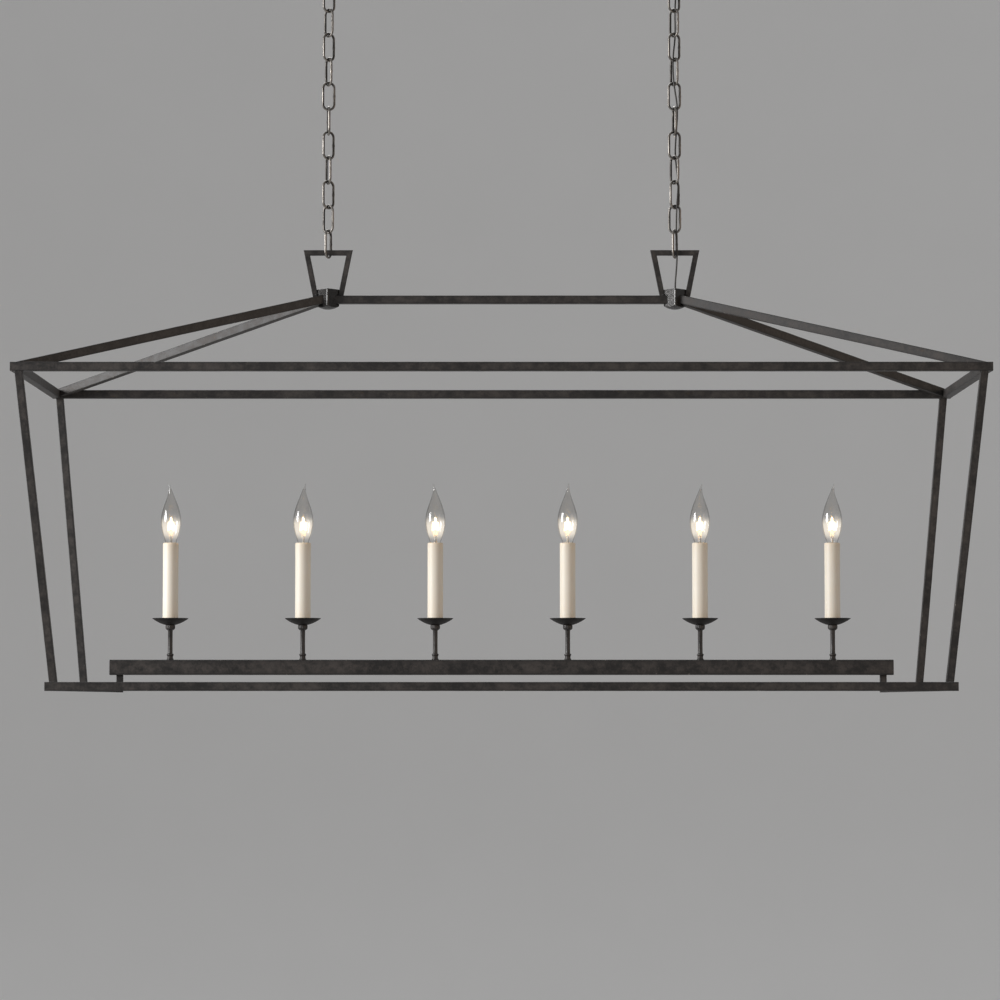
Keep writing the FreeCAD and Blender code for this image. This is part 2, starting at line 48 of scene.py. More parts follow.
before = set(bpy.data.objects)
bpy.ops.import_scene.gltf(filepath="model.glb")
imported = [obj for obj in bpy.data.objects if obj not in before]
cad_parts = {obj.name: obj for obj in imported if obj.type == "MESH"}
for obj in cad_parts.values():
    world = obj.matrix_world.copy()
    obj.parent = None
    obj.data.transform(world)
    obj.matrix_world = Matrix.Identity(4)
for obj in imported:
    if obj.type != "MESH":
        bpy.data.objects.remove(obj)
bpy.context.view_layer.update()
MM = 0.001
UP = np.array([0.0, 0.0, 1.0])
FRONT = np.array([0.0, -1.0, 0.0])
SIDES = {"left": -1.0, "right": 1.0}
CORNERS = {"front_left": (-1, -1), "front_right": (1, -1), "back_left": (-1, 1), "back_right": (1, 1)}


# ---- Places read from the frame ------------------------------------------------------------------
def corner_points(node):
    """The lowest and highest corner of a node, as arrays."""
    low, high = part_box(node)
    return np.array(low), np.array(high)


def middle(node):
    low, high = corner_points(node)
    return (low + high) / 2


def extent(node):
    low, high = corner_points(node)
    return high - low


# ---- Settings ------------------------------------------------------------------------------------
def size_setting(name, words, default):
    return FloatProperty(name=name, description=words, default=default, unit="LENGTH", subtype="DISTANCE")


def colour_setting(name, words, default):
    return FloatVectorProperty(name=name, description=words, default=default, subtype="COLOR",
                               min=0.0, max=1.0)


class PendantSizes(bpy.types.PropertyGroup):
    """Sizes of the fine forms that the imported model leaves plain."""

    arris: size_setting("Arris", "Rounding along the edges of the frame's bars", 0.8 * MM)
    hammer_depth: size_setting("Hammer depth", "How deep the soft dents of the forged bars go", 0.28 * MM)
    hammer_size: size_setting("Hammer size", "Width of one dent", 16 * MM)
    ring_step: size_setting("Ring step", "Distance between two sections of a bar", 7 * MM)
    weld_size: size_setting("Weld size", "Radius of a weld bead where two bars meet", 3.4 * MM)
    thread_depth: size_setting("Thread depth", "Depth of the rolled thread of a lamp's base", 0.45 * MM)
    thread_pitch: size_setting("Thread pitch", "Pitch of the lamp base's thread", 2.5 * MM)
    coil_wire: size_setting("Filament wire", "Diameter of the coiled filament wire", 0.672 * MM)
    coil_width: size_setting("Filament coil", "Diameter of the filament's coil", 2.1 * MM)
    link_seam: size_setting("Link seam", "How far the weld of a chain link stands out", 0.22 * MM)
    turn_steps: IntProperty(name="Turned steps", description="Faces round a turned piece", default=64, min=12)


class PendantColours(bpy.types.PropertyGroup):
    """Colours of the finishes."""

    iron_dark: colour_setting("Iron", "The dark skin of the iron", (0.015, 0.0135, 0.013))
    iron_patina: colour_setting("Patina", "The grey-brown bloom on the iron", (0.062, 0.053, 0.048))
    iron_worn: colour_setting("Worn iron", "Bare metal where edges are rubbed", (0.34, 0.32, 0.29))
    rust: colour_setting("Rust", "Small specks of rust", (0.075, 0.042, 0.026))
    link_dark: colour_setting("Link, dark", "The dark of a chain link's inner side", (0.030, 0.027, 0.025))
    link_bright: colour_setting("Link, bright", "The rubbed outer side of a chain link", (0.26, 0.24, 0.22))
    ivory: colour_setting("Ivory", "The candle sleeve", (0.92, 0.85, 0.74))
    ivory_deep: colour_setting("Deep ivory", "The candle sleeve where it is tinted", (0.82, 0.62, 0.40))
    glow: colour_setting("Glow", "The lit filament where it is coolest", (1.0, 0.50, 0.14))
    floor: colour_setting("Floor", "The plain floor and backdrop", (0.88, 0.865, 0.85))


def sizes():
    return bpy.context.scene.pendant_sizes


def colours():
    return bpy.context.scene.pendant_colours


# ---- Shapes as arrays ----------------------------------------------------------------------------
def unit(vectors):
    return vectors / np.linalg.norm(vectors, axis=-1, keepdims=True)


def noise(points, cell, seed=0):
    """Smooth noise from -1 to 1: a random number on each corner of a lattice, mixed along
    each axis by the curve 3t^2 - 2t^3."""
    place = np.asarray(points) / cell + 1000.0
    base = np.floor(place).astype(np.int64)
    share = place - base
    share = share * share * (3 - 2 * share)
    total = np.zeros(place.shape[:-1])
    for corner in np.ndindex(2, 2, 2):
        at = base + np.array(corner)
        key = at[..., 0] * 374761393 + at[..., 1] * 668265263 + at[..., 2] * 1440662683 + seed * 974634777
        key = (key ^ (key >> 13)) * 1274126177
        value = ((key ^ (key >> 16)) & 0xFFFF) / 32767.5 - 1
        total += value * np.prod(np.where(np.array(corner, bool), share, 1 - share), axis=-1)
    return total


def rounded(outline, reach, steps=3, closed=True):
    """Softens an outline: each corner gives way to the curve (1-t)^2 a + 2t(1-t) p + t^2 b, where p
    is the corner and a and b lie `reach` before and after it."""
    corner = np.asarray(outline, float)

    def cut(leg):
        length = np.maximum(np.linalg.norm(leg, axis=1, keepdims=True), 1e-12)
        return corner + leg * np.minimum(reach / length, 0.45)

    start, end = cut(np.roll(corner, 1, 0) - corner), cut(np.roll(corner, -1, 0) - corner)
    t = np.linspace(0, 1, steps + 1)[:, None, None]
    curve = (1 - t) ** 2 * start + 2 * t * (1 - t) * corner + t ** 2 * end
    points = curve.transpose(1, 0, 2).reshape(-1, corner.shape[1])
    if closed:
        return points
    return np.concatenate([corner[:1], points[steps + 1:-steps - 1], corner[-1:]])


def bar_section(width, height, arris):
    """A rectangle with rounded arrises, and how near each point lies to an arris, from 0 to 1."""
    half, arc_steps = np.array([width, height]) / 2, 3
    shares = np.array([0.07, 0.3, 0.5, 0.7, 0.93])
    signs = np.array([(1, 1), (-1, 1), (-1, -1), (1, -1)])
    centres = (half - arris) * signs
    points, edge = [], []
    for corner in range(4):
        angle = np.radians(90 * corner + np.linspace(0, 90, arc_steps + 1))
        arc = centres[corner] + arris * np.stack([np.cos(angle), np.sin(angle)], axis=1)
        turned_on = np.radians(90 * corner + 90)
        outward = arris * np.array([np.cos(turned_on), np.sin(turned_on)])
        flat_end = centres[(corner + 1) % 4] + outward
        flat = arc[-1] + (flat_end - arc[-1]) * shares[:, None]
        points += [arc, flat]
        edge += [np.ones(arc_steps + 1), np.array([0.3, 0, 0, 0, 0.3])]
    return np.concatenate(points), np.concatenate(edge)


def round_section(diameter, steps=16):
    angle = 2 * np.pi * np.arange(steps) / steps
    return diameter / 2 * np.stack([np.cos(angle), np.sin(angle)], axis=1)


def carried(section, path, normal, loop=False):
    """A section carried along a path. Each ring lies in the plane that halves the turn at its
    point, and is stretched there by 1 / cos(half the turn), as in a mitre."""
    path = np.asarray(path, float)
    ahead = np.roll(path, -1, axis=0) - path
    if not loop:
        ahead[-1] = ahead[-2]
    ahead = unit(ahead)
    back = np.roll(ahead, 1, axis=0)
    if not loop:
        back[0] = ahead[0]
    along = unit(ahead + back)
    side = unit(np.cross(along, normal))
    up = np.cross(side, along)
    stretch = 1 / np.sum(along * ahead, axis=1, keepdims=True)
    section = section if section.ndim == 3 else section[None]
    return path[:, None] + (side * stretch)[:, None] * section[..., :1] + up[:, None] * section[..., 1:2]


def spaced(points, step):
    """Points along straight runs, each run divided evenly into steps of about `step`."""
    points = np.asarray(points, float)
    runs = []
    for start, end in zip(points[:-1], points[1:]):
        count = max(1, int(round(np.linalg.norm(end - start) / step)))
        runs.append(start + (end - start) * (np.arange(count) / count)[:, None])
    return np.concatenate(runs + [points[-1:]])


def pressed(rings, centres, depth, cell, seed):
    """Presses each point towards its bar's middle line by depth * (1 + noise) / 2, in soft patches."""
    inward = unit(centres[:, None] - rings)
    return rings + inward * (depth * (0.5 + 0.5 * noise(rings, cell, seed)))[..., None]


def turned(outline, steps, centre=(0, 0, 0)):
    """An outline of (radius, height) points turned about an upright axis: one ring for each point."""
    outline = np.asarray(outline, float)
    angle = 2 * np.pi * np.arange(steps) / steps
    radius, height = outline[:, :1], outline[:, 1:]
    ring = np.stack([radius * np.cos(angle), radius * np.sin(angle), height + 0 * angle], axis=-1)
    return ring + np.array(centre)


class Shape:
    """Gathers grids of points, with their wear from 0 to 1, and makes one mesh of them."""

    def __init__(self):
        self.points, self.wear, self.faces, self.count = [], [], [], 0

    def grid(self, rings, wear=0.0, loop=False):
        """Adds a closed skin of rings: the columns meet, and the rows meet too or end in a cap."""
        rows, columns = rings.shape[:2]
        index = np.arange(rows * columns).reshape(rows, columns)
        across = np.concatenate([index, index[:, :1]], axis=1)
        if loop:
            across = np.concatenate([across, across[:1]], axis=0)
        quads = np.stack([across[:-1, :-1], across[:-1, 1:], across[1:, 1:], across[1:, :-1]], axis=-1)
        quads = quads.reshape(-1, 4)
        caps = [] if loop else [index[0, ::-1], index[-1]]
        flat = rings.reshape(-1, 3)
        if self.volume(flat, quads, caps) < 0:
            quads, caps = quads[:, ::-1], [cap[::-1] for cap in caps]
        self.faces += (quads + self.count).tolist() + [(cap + self.count).tolist() for cap in caps]
        self.points.append(flat)
        self.wear.append(np.broadcast_to(wear, (rows, columns)).reshape(-1))
        self.count += rows * columns
        return self

    @staticmethod
    def volume(points, quads, caps):
        """Six times the signed volume: the sum of a . (b x c) over the triangles of every face."""
        points = points - points.mean(axis=0)
        a, b, c, d = (points[quads[:, i]] for i in range(4))
        total = np.sum(a * np.cross(b, c)) + np.sum(a * np.cross(c, d))
        for cap in caps:
            ring = points[cap]
            total += np.sum(ring[0] * np.cross(ring[1:-1], ring[2:]))
        return total

    def build(self, name, material, body, slot, nodes=(), smooth=40.0):
        """Makes the object, smooth but for edges sharper than an angle, and rides it on its body."""
        mesh = bpy.data.meshes.new(name)
        mesh.from_pydata(np.concatenate(self.points).tolist(), [], self.faces)
        mesh.update()
        layer = mesh.attributes.new("wear", "FLOAT", "POINT")
        layer.data.foreach_set("value", np.concatenate(self.wear).astype(np.float32))
        return finished(name, mesh, material, body, nodes, smooth)

    def lantern_iron(self, name, node, kind="aged_iron", smooth=40.0):
        """Makes an iron piece of the lantern, which stands for one node."""
        return self.build(name, finish(kind), "lantern", "aged_iron", [node], smooth)


def finished(name, mesh, material, body, nodes=(), smooth=40.0):
    """Makes an object of a mesh, with its finish, the body it rides on and the nodes it stands for."""
    mesh.polygons.foreach_set("use_smooth", np.ones(len(mesh.polygons), bool))
    mesh.set_sharp_from_angle(angle=math.radians(smooth))
    mesh.materials.append(material)
    piece = bpy.data.objects.new(name, mesh)
    bpy.context.scene.collection.objects.link(piece)
    if body:
        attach(piece, body)
    if nodes:
        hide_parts(*nodes)
    return piece


# ---- Shader maths --------------------------------------------------------------------------------
class Value:
    """A number or a colour on a link. Sums with numbers or other Values add Math nodes."""

    def __init__(self, finish, socket):
        self.finish, self.socket = finish, socket

    def maths(self, operation, first, second=0.0, clamp=False):
        return self.finish.node("Math", {0: first, 1: second}, operation=operation, use_clamp=clamp)

    def __add__(self, other):
        return self.maths("ADD", self, other)

    def __sub__(self, other):
        return self.maths("SUBTRACT", self, other)

    def __rsub__(self, other):
        return self.maths("SUBTRACT", other, self)

    def __mul__(self, other):
        return self.maths("MULTIPLY", self, other)

    __radd__, __rmul__ = __add__, __mul__

    def clamped(self):
        return self.maths("ADD", self, clamp=True)

    def between(self, low, high, smooth=True):
        """0 below low, 1 above high, and an S-curve or a straight ramp between them."""
        return self.finish.node("MapRange", {"Value": self, "From Min": low, "From Max": high},
                                interpolation_type="SMOOTHSTEP" if smooth else "LINEAR")


class Finish:
    """One material: its nodes, and the maths that links them."""

    def __init__(self, name):
        self.material = bpy.data.materials.new(name)
        self.material.use_nodes = True
        self.nodes, self.links = self.material.node_tree.nodes, self.material.node_tree.links
        self.shader = self.nodes["Principled BSDF"]
        self.place = self.node("TexCoord", out="Object")

    def set_sockets(self, made, values):
        for key, value in values.items():
            socket = made.inputs[key]
            if isinstance(value, Value):
                self.links.new(value.socket, socket)
            elif socket.type == "RGBA" and len(value) == 3:
                socket.default_value = (*value, 1.0)
            else:
                socket.default_value = value

    def node(self, kind, values=None, out=0, **settings):
        """Makes a node: its settings first, then its sockets, and returns one output."""
        made = self.nodes.new("ShaderNode" + kind)
        for key, value in settings.items():
            setattr(made, key, value)
        self.set_sockets(made, values or {})
        return Value(self, made.outputs[out])

    def noise(self, scale, detail=4.0, roughness=0.6, place=None):
        return self.node("TexNoise", {"Vector": place or self.place, "Scale": scale, "Detail": detail,
                                      "Roughness": roughness})

    def stretched(self, x, y, z):
        """The place with each axis scaled, for marks that run along a piece."""
        return self.node("Mapping", {"Vector": self.place, "Scale": (x, y, z)})

    def mixed(self, share, first, second):
        return self.node("Mix", {0: share, 6: first, 7: second}, out=2, data_type="RGBA")

    def wear(self):
        return self.node("Attribute", out="Fac", attribute_name="wear")

    def bump(self, height, depth, strength=1.0):
        return self.node("Bump", {"Height": height, "Distance": depth, "Strength": strength})

    def surface(self, **values):
        """Sets the shader's sockets; underscores in a name stand for spaces."""
        self.set_sockets(self.shader, {key.replace("_", " "): value for key, value in values.items()})
        return self.material


def iron(name, bloom_share, roughness, shine=0.5):
    """Near-black iron: a grey-brown bloom in fine mottles, darker along its arrises, with specks of rust
    and a few spots where an arris is rubbed bright."""
    c, f = colours(), Finish(name)
    broad, patch = f.noise(14, 3, 0.5), f.noise(80, 5, 0.62)
    fine, grit = f.noise(330, 5, 0.66), f.noise(1500, 3, 0.7)
    bloom = (broad * 0.30 + patch * 0.42 + fine * 0.28).between(0.40, 0.63) * bloom_share
    arris = (f.wear() * 1.25).clamped()
    rubbed = (arris * (patch * 0.35 + fine * 0.65)).between(0.585, 0.66)
    specks = (fine * 0.6 + grit * 0.4).between(0.58, 0.64) * bloom * 0.5
    skin = f.mixed(bloom, c.iron_dark, c.iron_patina)
    skin = f.mixed(specks, skin, c.rust)
    skin = f.mixed(arris * 0.72, skin, c.iron_dark)
    skin = f.mixed(rubbed * 0.75, skin, c.iron_worn)
    height = patch * 0.4 + fine * 0.4 + grit * 0.2
    return f.surface(Base_Color=skin, Metallic=0.15 + rubbed * 0.6,
                     Roughness=(bloom * 0.16 + grit * 0.14 - rubbed * 0.1 + roughness).clamped(),
                     Specular_IOR_Level=shine, Normal=f.bump(height, 0.0006, 0.6))


def burnished_steel():
    """Chain wire: dark in its hollows, rubbed bright on the outside and in clouds."""
    c, f = colours(), Finish("burnished chain steel")
    patch, fine, grit = f.noise(120, 4, 0.6), f.noise(520, 4, 0.65), f.noise(1800, 3, 0.7)
    rubbed = (f.wear() * 0.6 + patch * 0.6 + fine * 0.3).between(0.55, 1.1)
    skin = f.mixed(rubbed, c.link_dark, c.link_bright)
    return f.surface(Base_Color=skin, Metallic=0.8, Roughness=(0.30 - rubbed * 0.08 + grit * 0.14).clamped(),
                     Normal=f.bump(fine * 0.6 + grit * 0.4, 0.0002, 0.5))


def ivory():
    """Moulded candle ivory, with faint clouds, a deeper tint near its foot and top, and a soft sheen."""
    c, f = colours(), Finish("candle ivory")
    clouds, grain = f.noise(26, 3, 0.5), f.noise(1400, 2, 0.6)
    streaks = f.noise(60, 4, 0.6, f.stretched(1, 1, 0.16))
    tint = (f.wear() * 0.75 + clouds * 0.22 + streaks * 0.22 - 0.12).clamped()
    return f.surface(Base_Color=f.mixed(tint, c.ivory, c.ivory_deep),
                     Roughness=0.36 + grain * 0.12 + clouds * 0.08,
                     Subsurface_Weight=0.1, Subsurface_Radius=(1.0, 0.8, 0.6), Subsurface_Scale=0.002,
                     Normal=f.bump(streaks * 0.6 + grain * 0.4, 0.0002, 0.35))


def clear_glass():
    """Clear lamp glass: a little uneven, tinted brown-grey towards its tip as a painted dark reflection,
    near-black where its wall turns away from the eye as a painted dark reflection, and given a painted glow
    at the filament's height."""
    f = Finish("clear lamp glass")
    low, high = (corner[2] for corner in corner_points("bulb_1_glass"))
    waves = f.noise(60, 2, 0.4)
    share = f.node("SeparateXYZ", {0: f.place}, out=2).between(low, high, smooth=False)
    grazing = f.node("LayerWeight", {"Blend": 0.5}, out="Facing").between(0.42, 0.92)
    # painted dark reflection: the glass's colour turns brown-grey towards its tip
    painted_dark_reflection = share.between(0.40, 0.62) * 0.22
    tint = f.mixed(painted_dark_reflection, (0.985, 0.985, 0.98), (0.42, 0.38, 0.34))
    # painted dark reflection: the colour goes near-black where the wall turns away from the eye
    tint = f.mixed(grazing * 0.95, tint, (0.10, 0.09, 0.08))
    # painted glow: the glass itself gives warm light at the filament's height, where the filament's glare
    # lies
    lit = share.between(0.09, 0.24) * (1 - share.between(0.33, 0.50)) * (1 - grazing)
    return f.surface(Base_Color=tint, Roughness=0.01 + waves * 0.02, IOR=1.47, Transmission_Weight=1.0,
                     Emission_Color=f.mixed(lit, (0, 0, 0), (1.0, 0.87, 0.68)), Emission_Strength=0.14,
                     Normal=f.bump(waves, 0.0006, 0.25))


def mount_glass():
    """The milky pressed glass that carries the filament."""
    f = Finish("mount glass")
    clouds = f.noise(400, 3, 0.5)
    return f.surface(Base_Color=f.mixed(clouds, (0.86, 0.85, 0.83), (0.95, 0.93, 0.88)),
                     Roughness=0.12 + clouds * 0.1, IOR=1.5, Transmission_Weight=0.45,
                     Normal=f.bump(clouds, 0.0003, 0.3))


def filament_glow():
    """The lit filament: warm at the ends of its coil and nearly white in the middle."""
    c, f = colours(), Finish("lit filament")
    heat = f.wear() * 0.85 + f.noise(900, 2, 0.5) * 0.15
    return f.surface(Base_Color=(0.9, 0.7, 0.4), Roughness=0.5 + heat * 0.1, Emission_Strength=7.0,
                     Emission_Color=f.mixed(heat, c.glow, (1.0, 0.74, 0.38)))


def plated(name, first, second, metallic, roughness):
    """Plated or drawn metal: two tones in soft clouds, with fine drawn lines."""
    f = Finish(name)
    clouds, lines = f.noise(70, 4, 0.6), f.noise(700, 3, 0.6, f.stretched(1, 1, 0.1))
    return f.surface(Base_Color=f.mixed((clouds * 0.7 + lines * 0.3).between(0.35, 0.65), first, second),
                     Metallic=metallic, Roughness=roughness + lines * 0.15,
                     Normal=f.bump(lines, 0.0001, 0.4))


def moulded(name, first, second, roughness):
    """Moulded plastic: a soft two-tone grain and a fine pebbled skin."""
    f = Finish(name)
    clouds, grain = f.noise(90, 3, 0.5), f.noise(1600, 3, 0.6)
    return f.surface(Base_Color=f.mixed(clouds, first, second), Roughness=roughness + grain * 0.15,
                     Normal=f.bump(grain, 0.0001, 0.5))


FINISHES = {
    "aged_iron": lambda: iron("aged iron", 1.0, 0.40),
    "hub_iron": lambda: iron("oiled hub iron", 0.25, 0.15),
    "stem_iron": lambda: iron("worn stem iron", 0.8, 0.24),
    # the pans' iron is darker and duller than the frame's: partly a black finish, partly painted shade for
    # their undersides
    "pan_iron": lambda: iron("black pan iron with painted shade", 0.10, 0.50, 0.2),
    "chain_steel": burnished_steel,
    "candle_ivory": ivory,
    "clear_glass": clear_glass,
    "mount_glass": mount_glass,
    "filament": filament_glow,
    "lamp_brass": lambda: plated("lamp brass", (0.62, 0.50, 0.28), (0.78, 0.68, 0.46), 1.0, 0.24),
    "zinc_steel": lambda: plated("zinc plate", (0.42, 0.43, 0.43), (0.62, 0.63, 0.62), 0.9, 0.36),
    "lead_wire": lambda: plated("lead wire", (0.40, 0.34, 0.28), (0.62, 0.54, 0.44), 1.0, 0.3),
    "cord_black": lambda: moulded("dark cord", (0.016, 0.014, 0.013), (0.040, 0.035, 0.031), 0.40),
    "socket_plastic": lambda: moulded("socket plastic", (0.020, 0.018, 0.016), (0.045, 0.040, 0.036), 0.45),
}
made_finishes = {}


def finish(name):
    """The material of that name, made when it is first asked for."""
    if name not in made_finishes:
        made_finishes[name] = FINISHES[name]()
    return made_finishes[name]


# ---- Bars ----------------------------------------------------------------------------------------
def forged_bar(shape, start, end, width, height, normal, seed):
    """A straight forged bar: a softened rectangle carried along its middle line, dented a little."""
    s = sizes()
    section, edge = bar_section(width, height, s.arris)
    path = spaced([start, end], s.ring_step)
    rings = pressed(carried(section, path, normal), path, s.hammer_depth, s.hammer_size, seed)
    return shape.grid(rings, edge)


def bar_piece(node, start, end, width, height, normal, seed):
    """A forged bar that stands for one node of the lantern."""
    forged_bar(Shape(), start, end, width, height, normal, seed).lantern_iron(node + "_forged", node)


def weld(shape, centre, radius, seed, flatten=0.7):
    """A weld bead: a ball whose radius is r (1 + 0.22 noise), a little flatter than it is wide."""
    rows, columns = 9, 14
    polar = np.pi * (np.arange(rows) + 0.5) / rows
    angle = 2 * np.pi * np.arange(columns) / columns
    ball = np.stack([np.sin(polar)[:, None] * np.cos(angle), np.sin(polar)[:, None] * np.sin(angle),
                     flatten * np.cos(polar)[:, None] + 0 * angle], axis=-1)
    lumpy = radius * (1 + 0.22 * noise(ball * radius + np.array(centre), radius * 1.1, seed))
    return shape.grid(ball * lumpy[..., None] + np.array(centre), 0.8)


class PieceOperator(bpy.types.Operator):
    """Common part of the operators: build makes the pieces, and an error stops the script."""

    bl_options = {"REGISTER", "UNDO"}

    def execute(self, context):
        self.build()
        return {"FINISHED"}


class PENDANT_OT_rails(PieceOperator):
    """Makes the four rails of the top frame and of the bottom frame"""

    bl_idname = "pendant.rails"
    bl_label = "Rails"

    def build(self):
        for seed, (level, side) in enumerate((a, b) for a in ("top", "bottom")
                                             for b in ("front", "back", "left", "right")):
            node = level + "_rail_" + side
            low, high = corner_points(node)
            centre, bar = (low + high) / 2, high[2] - low[2]
            axis = 0 if side in ("front", "back") else 1
            start, end = centre.copy(), centre.copy()
            start[axis], end[axis] = low[axis], high[axis]
            if axis == 1:
                # an end rail runs a little way into the front and back rails
                start[1] -= bar / 4
                end[1] += bar / 4
            bar_piece(node, start, end, bar, bar, UP, seed)


class PENDANT_OT_posts(PieceOperator):
    """Makes the four leaning corner posts"""

    bl_idname = "pendant.posts"
    bl_label = "Corner posts"

    def build(self):
        s = sizes()
        for seed, corner in enumerate(CORNERS):
            node = "post_" + corner
            low, high = corner_points(node)
            # the post is cut level, so its level section is as wide as the CAD's at each end
            points = np.array([v.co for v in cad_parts[node].data.vertices])
            foot = points[points[:, 2] < low[2] + MM]
            head = points[points[:, 2] > high[2] - MM]
            bar = np.ptp(foot[:, 0])
            start, end = (foot.min(0) + foot.max(0)) / 2, (head.min(0) + head.max(0)) / 2
            section, edge = bar_section(bar, bar, s.arris)
            path = spaced([start, end], s.ring_step)
            rings = path[:, None] + np.concatenate([section, 0 * section[:, :1]], axis=1)
            rings = pressed(rings, path, s.hammer_depth, s.hammer_size, 20 + seed)
            Shape().grid(rings, edge).lantern_iron(node + "_forged", node)


HUB_CHAMFER, HUB_ARRIS, HUB_CROWN = 0.9 * MM, 1.5 * MM, 5 * MM


def hub_rings(centre, side, low, high):
    """A square block set cornerwise, whose top edges are softened. Its underside is a shallow dome, which
    rises by crown * (distance from the middle / distance of the corners)^2."""
    section, edge = bar_section(side, side, HUB_ARRIS)
    turn = np.array([[1, 1], [-1, 1]]) / math.sqrt(2)
    section = section @ turn
    shares = np.array([0.02, 0.25, 0.45, 0.62, 0.78, 0.90, 0.97])
    far = np.linalg.norm(section, axis=1)
    rise = HUB_CROWN * (far / np.max(far)) ** 2
    rings, wear = [], []
    for share in shares:
        rings.append(np.column_stack([section * share, low + rise * share ** 2]))
        wear.append(0.1 + 0 * far)
    rim = low + rise
    rings.append(np.column_stack([section * 0.995, rim + 0.25 * MM]))
    wear.append(0.9 + 0 * far)
    for share in np.linspace(0.04, 0.96, 10):
        rings.append(np.column_stack([section, rim + (high - rim) * share]))
        wear.append(edge)
    for share in (0.99, 0.96, 0.90, 0.6, 0.3):
        rings.append(np.column_stack([section * share, high - (0.35 * MM if share > 0.98 else 0) + 0 * far]))
        wear.append((0.9 if share > 0.95 else 0.15) + 0 * far)
    return np.array(rings) + np.array(centre), np.array(wear)


# how far above the hub's lowest point the middle lines of the hips meet
HIP_LIFT = 17 * MM


class PENDANT_OT_roof(PieceOperator):
    """Makes the four hips, the ridge, the two hubs and the weld beads where they meet"""

    bl_idname = "pendant.roof"
    bl_label = "Roof bars and hubs"

    def build(self):
        s = sizes()
        rail, ridge = corner_points("top_rail_front"), corner_points("ridge_bar")
        bar, ridge_bar = rail[1][2] - rail[0][2], ridge[1][2] - ridge[0][2]
        rail_z, ridge_z = (rail[0][2] + rail[1][2]) / 2, (ridge[0][2] + ridge[1][2]) / 2
        hub_x = middle("hub_right")[0]
        hub_low, hub_high = corner_points("hub_right")
        half = (hub_high[0] - hub_low[0]) / 2
        for seed, (corner, (x, y)) in enumerate(CORNERS.items()):
            node = "hip_" + corner
            foot = np.array([x * (rail[1][0] - bar / 2), y * -(rail[0][1] + bar / 2), rail_z])
            head = np.array([x * hub_x, 0, hub_low[2] + HIP_LIFT])
            shape = forged_bar(Shape(), foot, head, bar, bar, UP, 40 + seed)
            weld(shape, head - unit(head - foot) * (half + MM) - UP * bar * 0.45, s.weld_size, seed)
            shape.lantern_iron(node + "_forged", node)
        bar_piece("ridge_bar", np.array([-hub_x, 0, ridge_z]), np.array([hub_x, 0, ridge_z]),
                  ridge_bar, ridge_bar, UP, 50)
        # the hub stands cornerwise: its side is read from its width between two chamfered corners
        side = half * math.sqrt(2) + HUB_CHAMFER
        for name, sign in SIDES.items():
            node = "hub_" + name
            rings, wear = hub_rings((sign * hub_x, 0, 0), side, hub_low[2], hub_high[2])
            Shape().grid(rings, wear).lantern_iron(node + "_block", node, "hub_iron", 30)


# a hanger's outer width at its top and where it meets the ridge, and the height between them
HANGER_WIDTH, HANGER_FOOT_WIDTH, HANGER_HEIGHT = 72.2 * MM, 43.0 * MM, 73.2 * MM
HANGER_BAR = 8 * MM


class PENDANT_OT_hangers(PieceOperator):
    """Makes the two mitred hangers of flat bar"""

    bl_idname = "pendant.hangers"
    bl_label = "Hangers"

    def build(self):
        s = sizes()
        ridge = corner_points("ridge_bar")
        slope = (HANGER_WIDTH - HANGER_FOOT_WIDTH) / 2 / HANGER_HEIGHT
        # the legs end inside the ridge and the hips
        foot_z = (ridge[0][2] + ridge[1][2]) / 2 - 2 * MM
        for seed, name in enumerate(SIDES):
            node = "hanger_" + name
            low, high = corner_points(node)
            x, top_z = middle("hub_" + name)[0], high[2] - HANGER_BAR / 2
            reach = (high[0] - low[0]) / 2 - HANGER_BAR * math.sqrt(1 + slope ** 2) / 2
            corner, foot = reach - slope * HANGER_BAR / 2, reach - slope * (high[2] - foot_z)
            path = spaced([(x - foot, 0, foot_z), (x - corner, 0, top_z), (x + corner, 0, top_z),
                           (x + foot, 0, foot_z)], s.ring_step * 0.6)
            section, edge = bar_section(HANGER_BAR, high[1] - low[1], s.arris * 0.8)
            rings = pressed(carried(section, path, FRONT), path, s.hammer_depth * 0.7, s.hammer_size,
                            60 + seed)
            shape = Shape().grid(rings, edge)
            for end in (-1, 1):
                weld(shape, (x + end * foot, -MM, ridge[1][2] + 1.2 * MM), s.weld_size * 0.9, 5 + end, 0.6)
            shape.lantern_iron(node + "_forged", node)


LIGHT_BAR_WALL, END_CAP, BRACE_BAR = 1.6 * MM, 1.6 * MM, 9.5 * MM


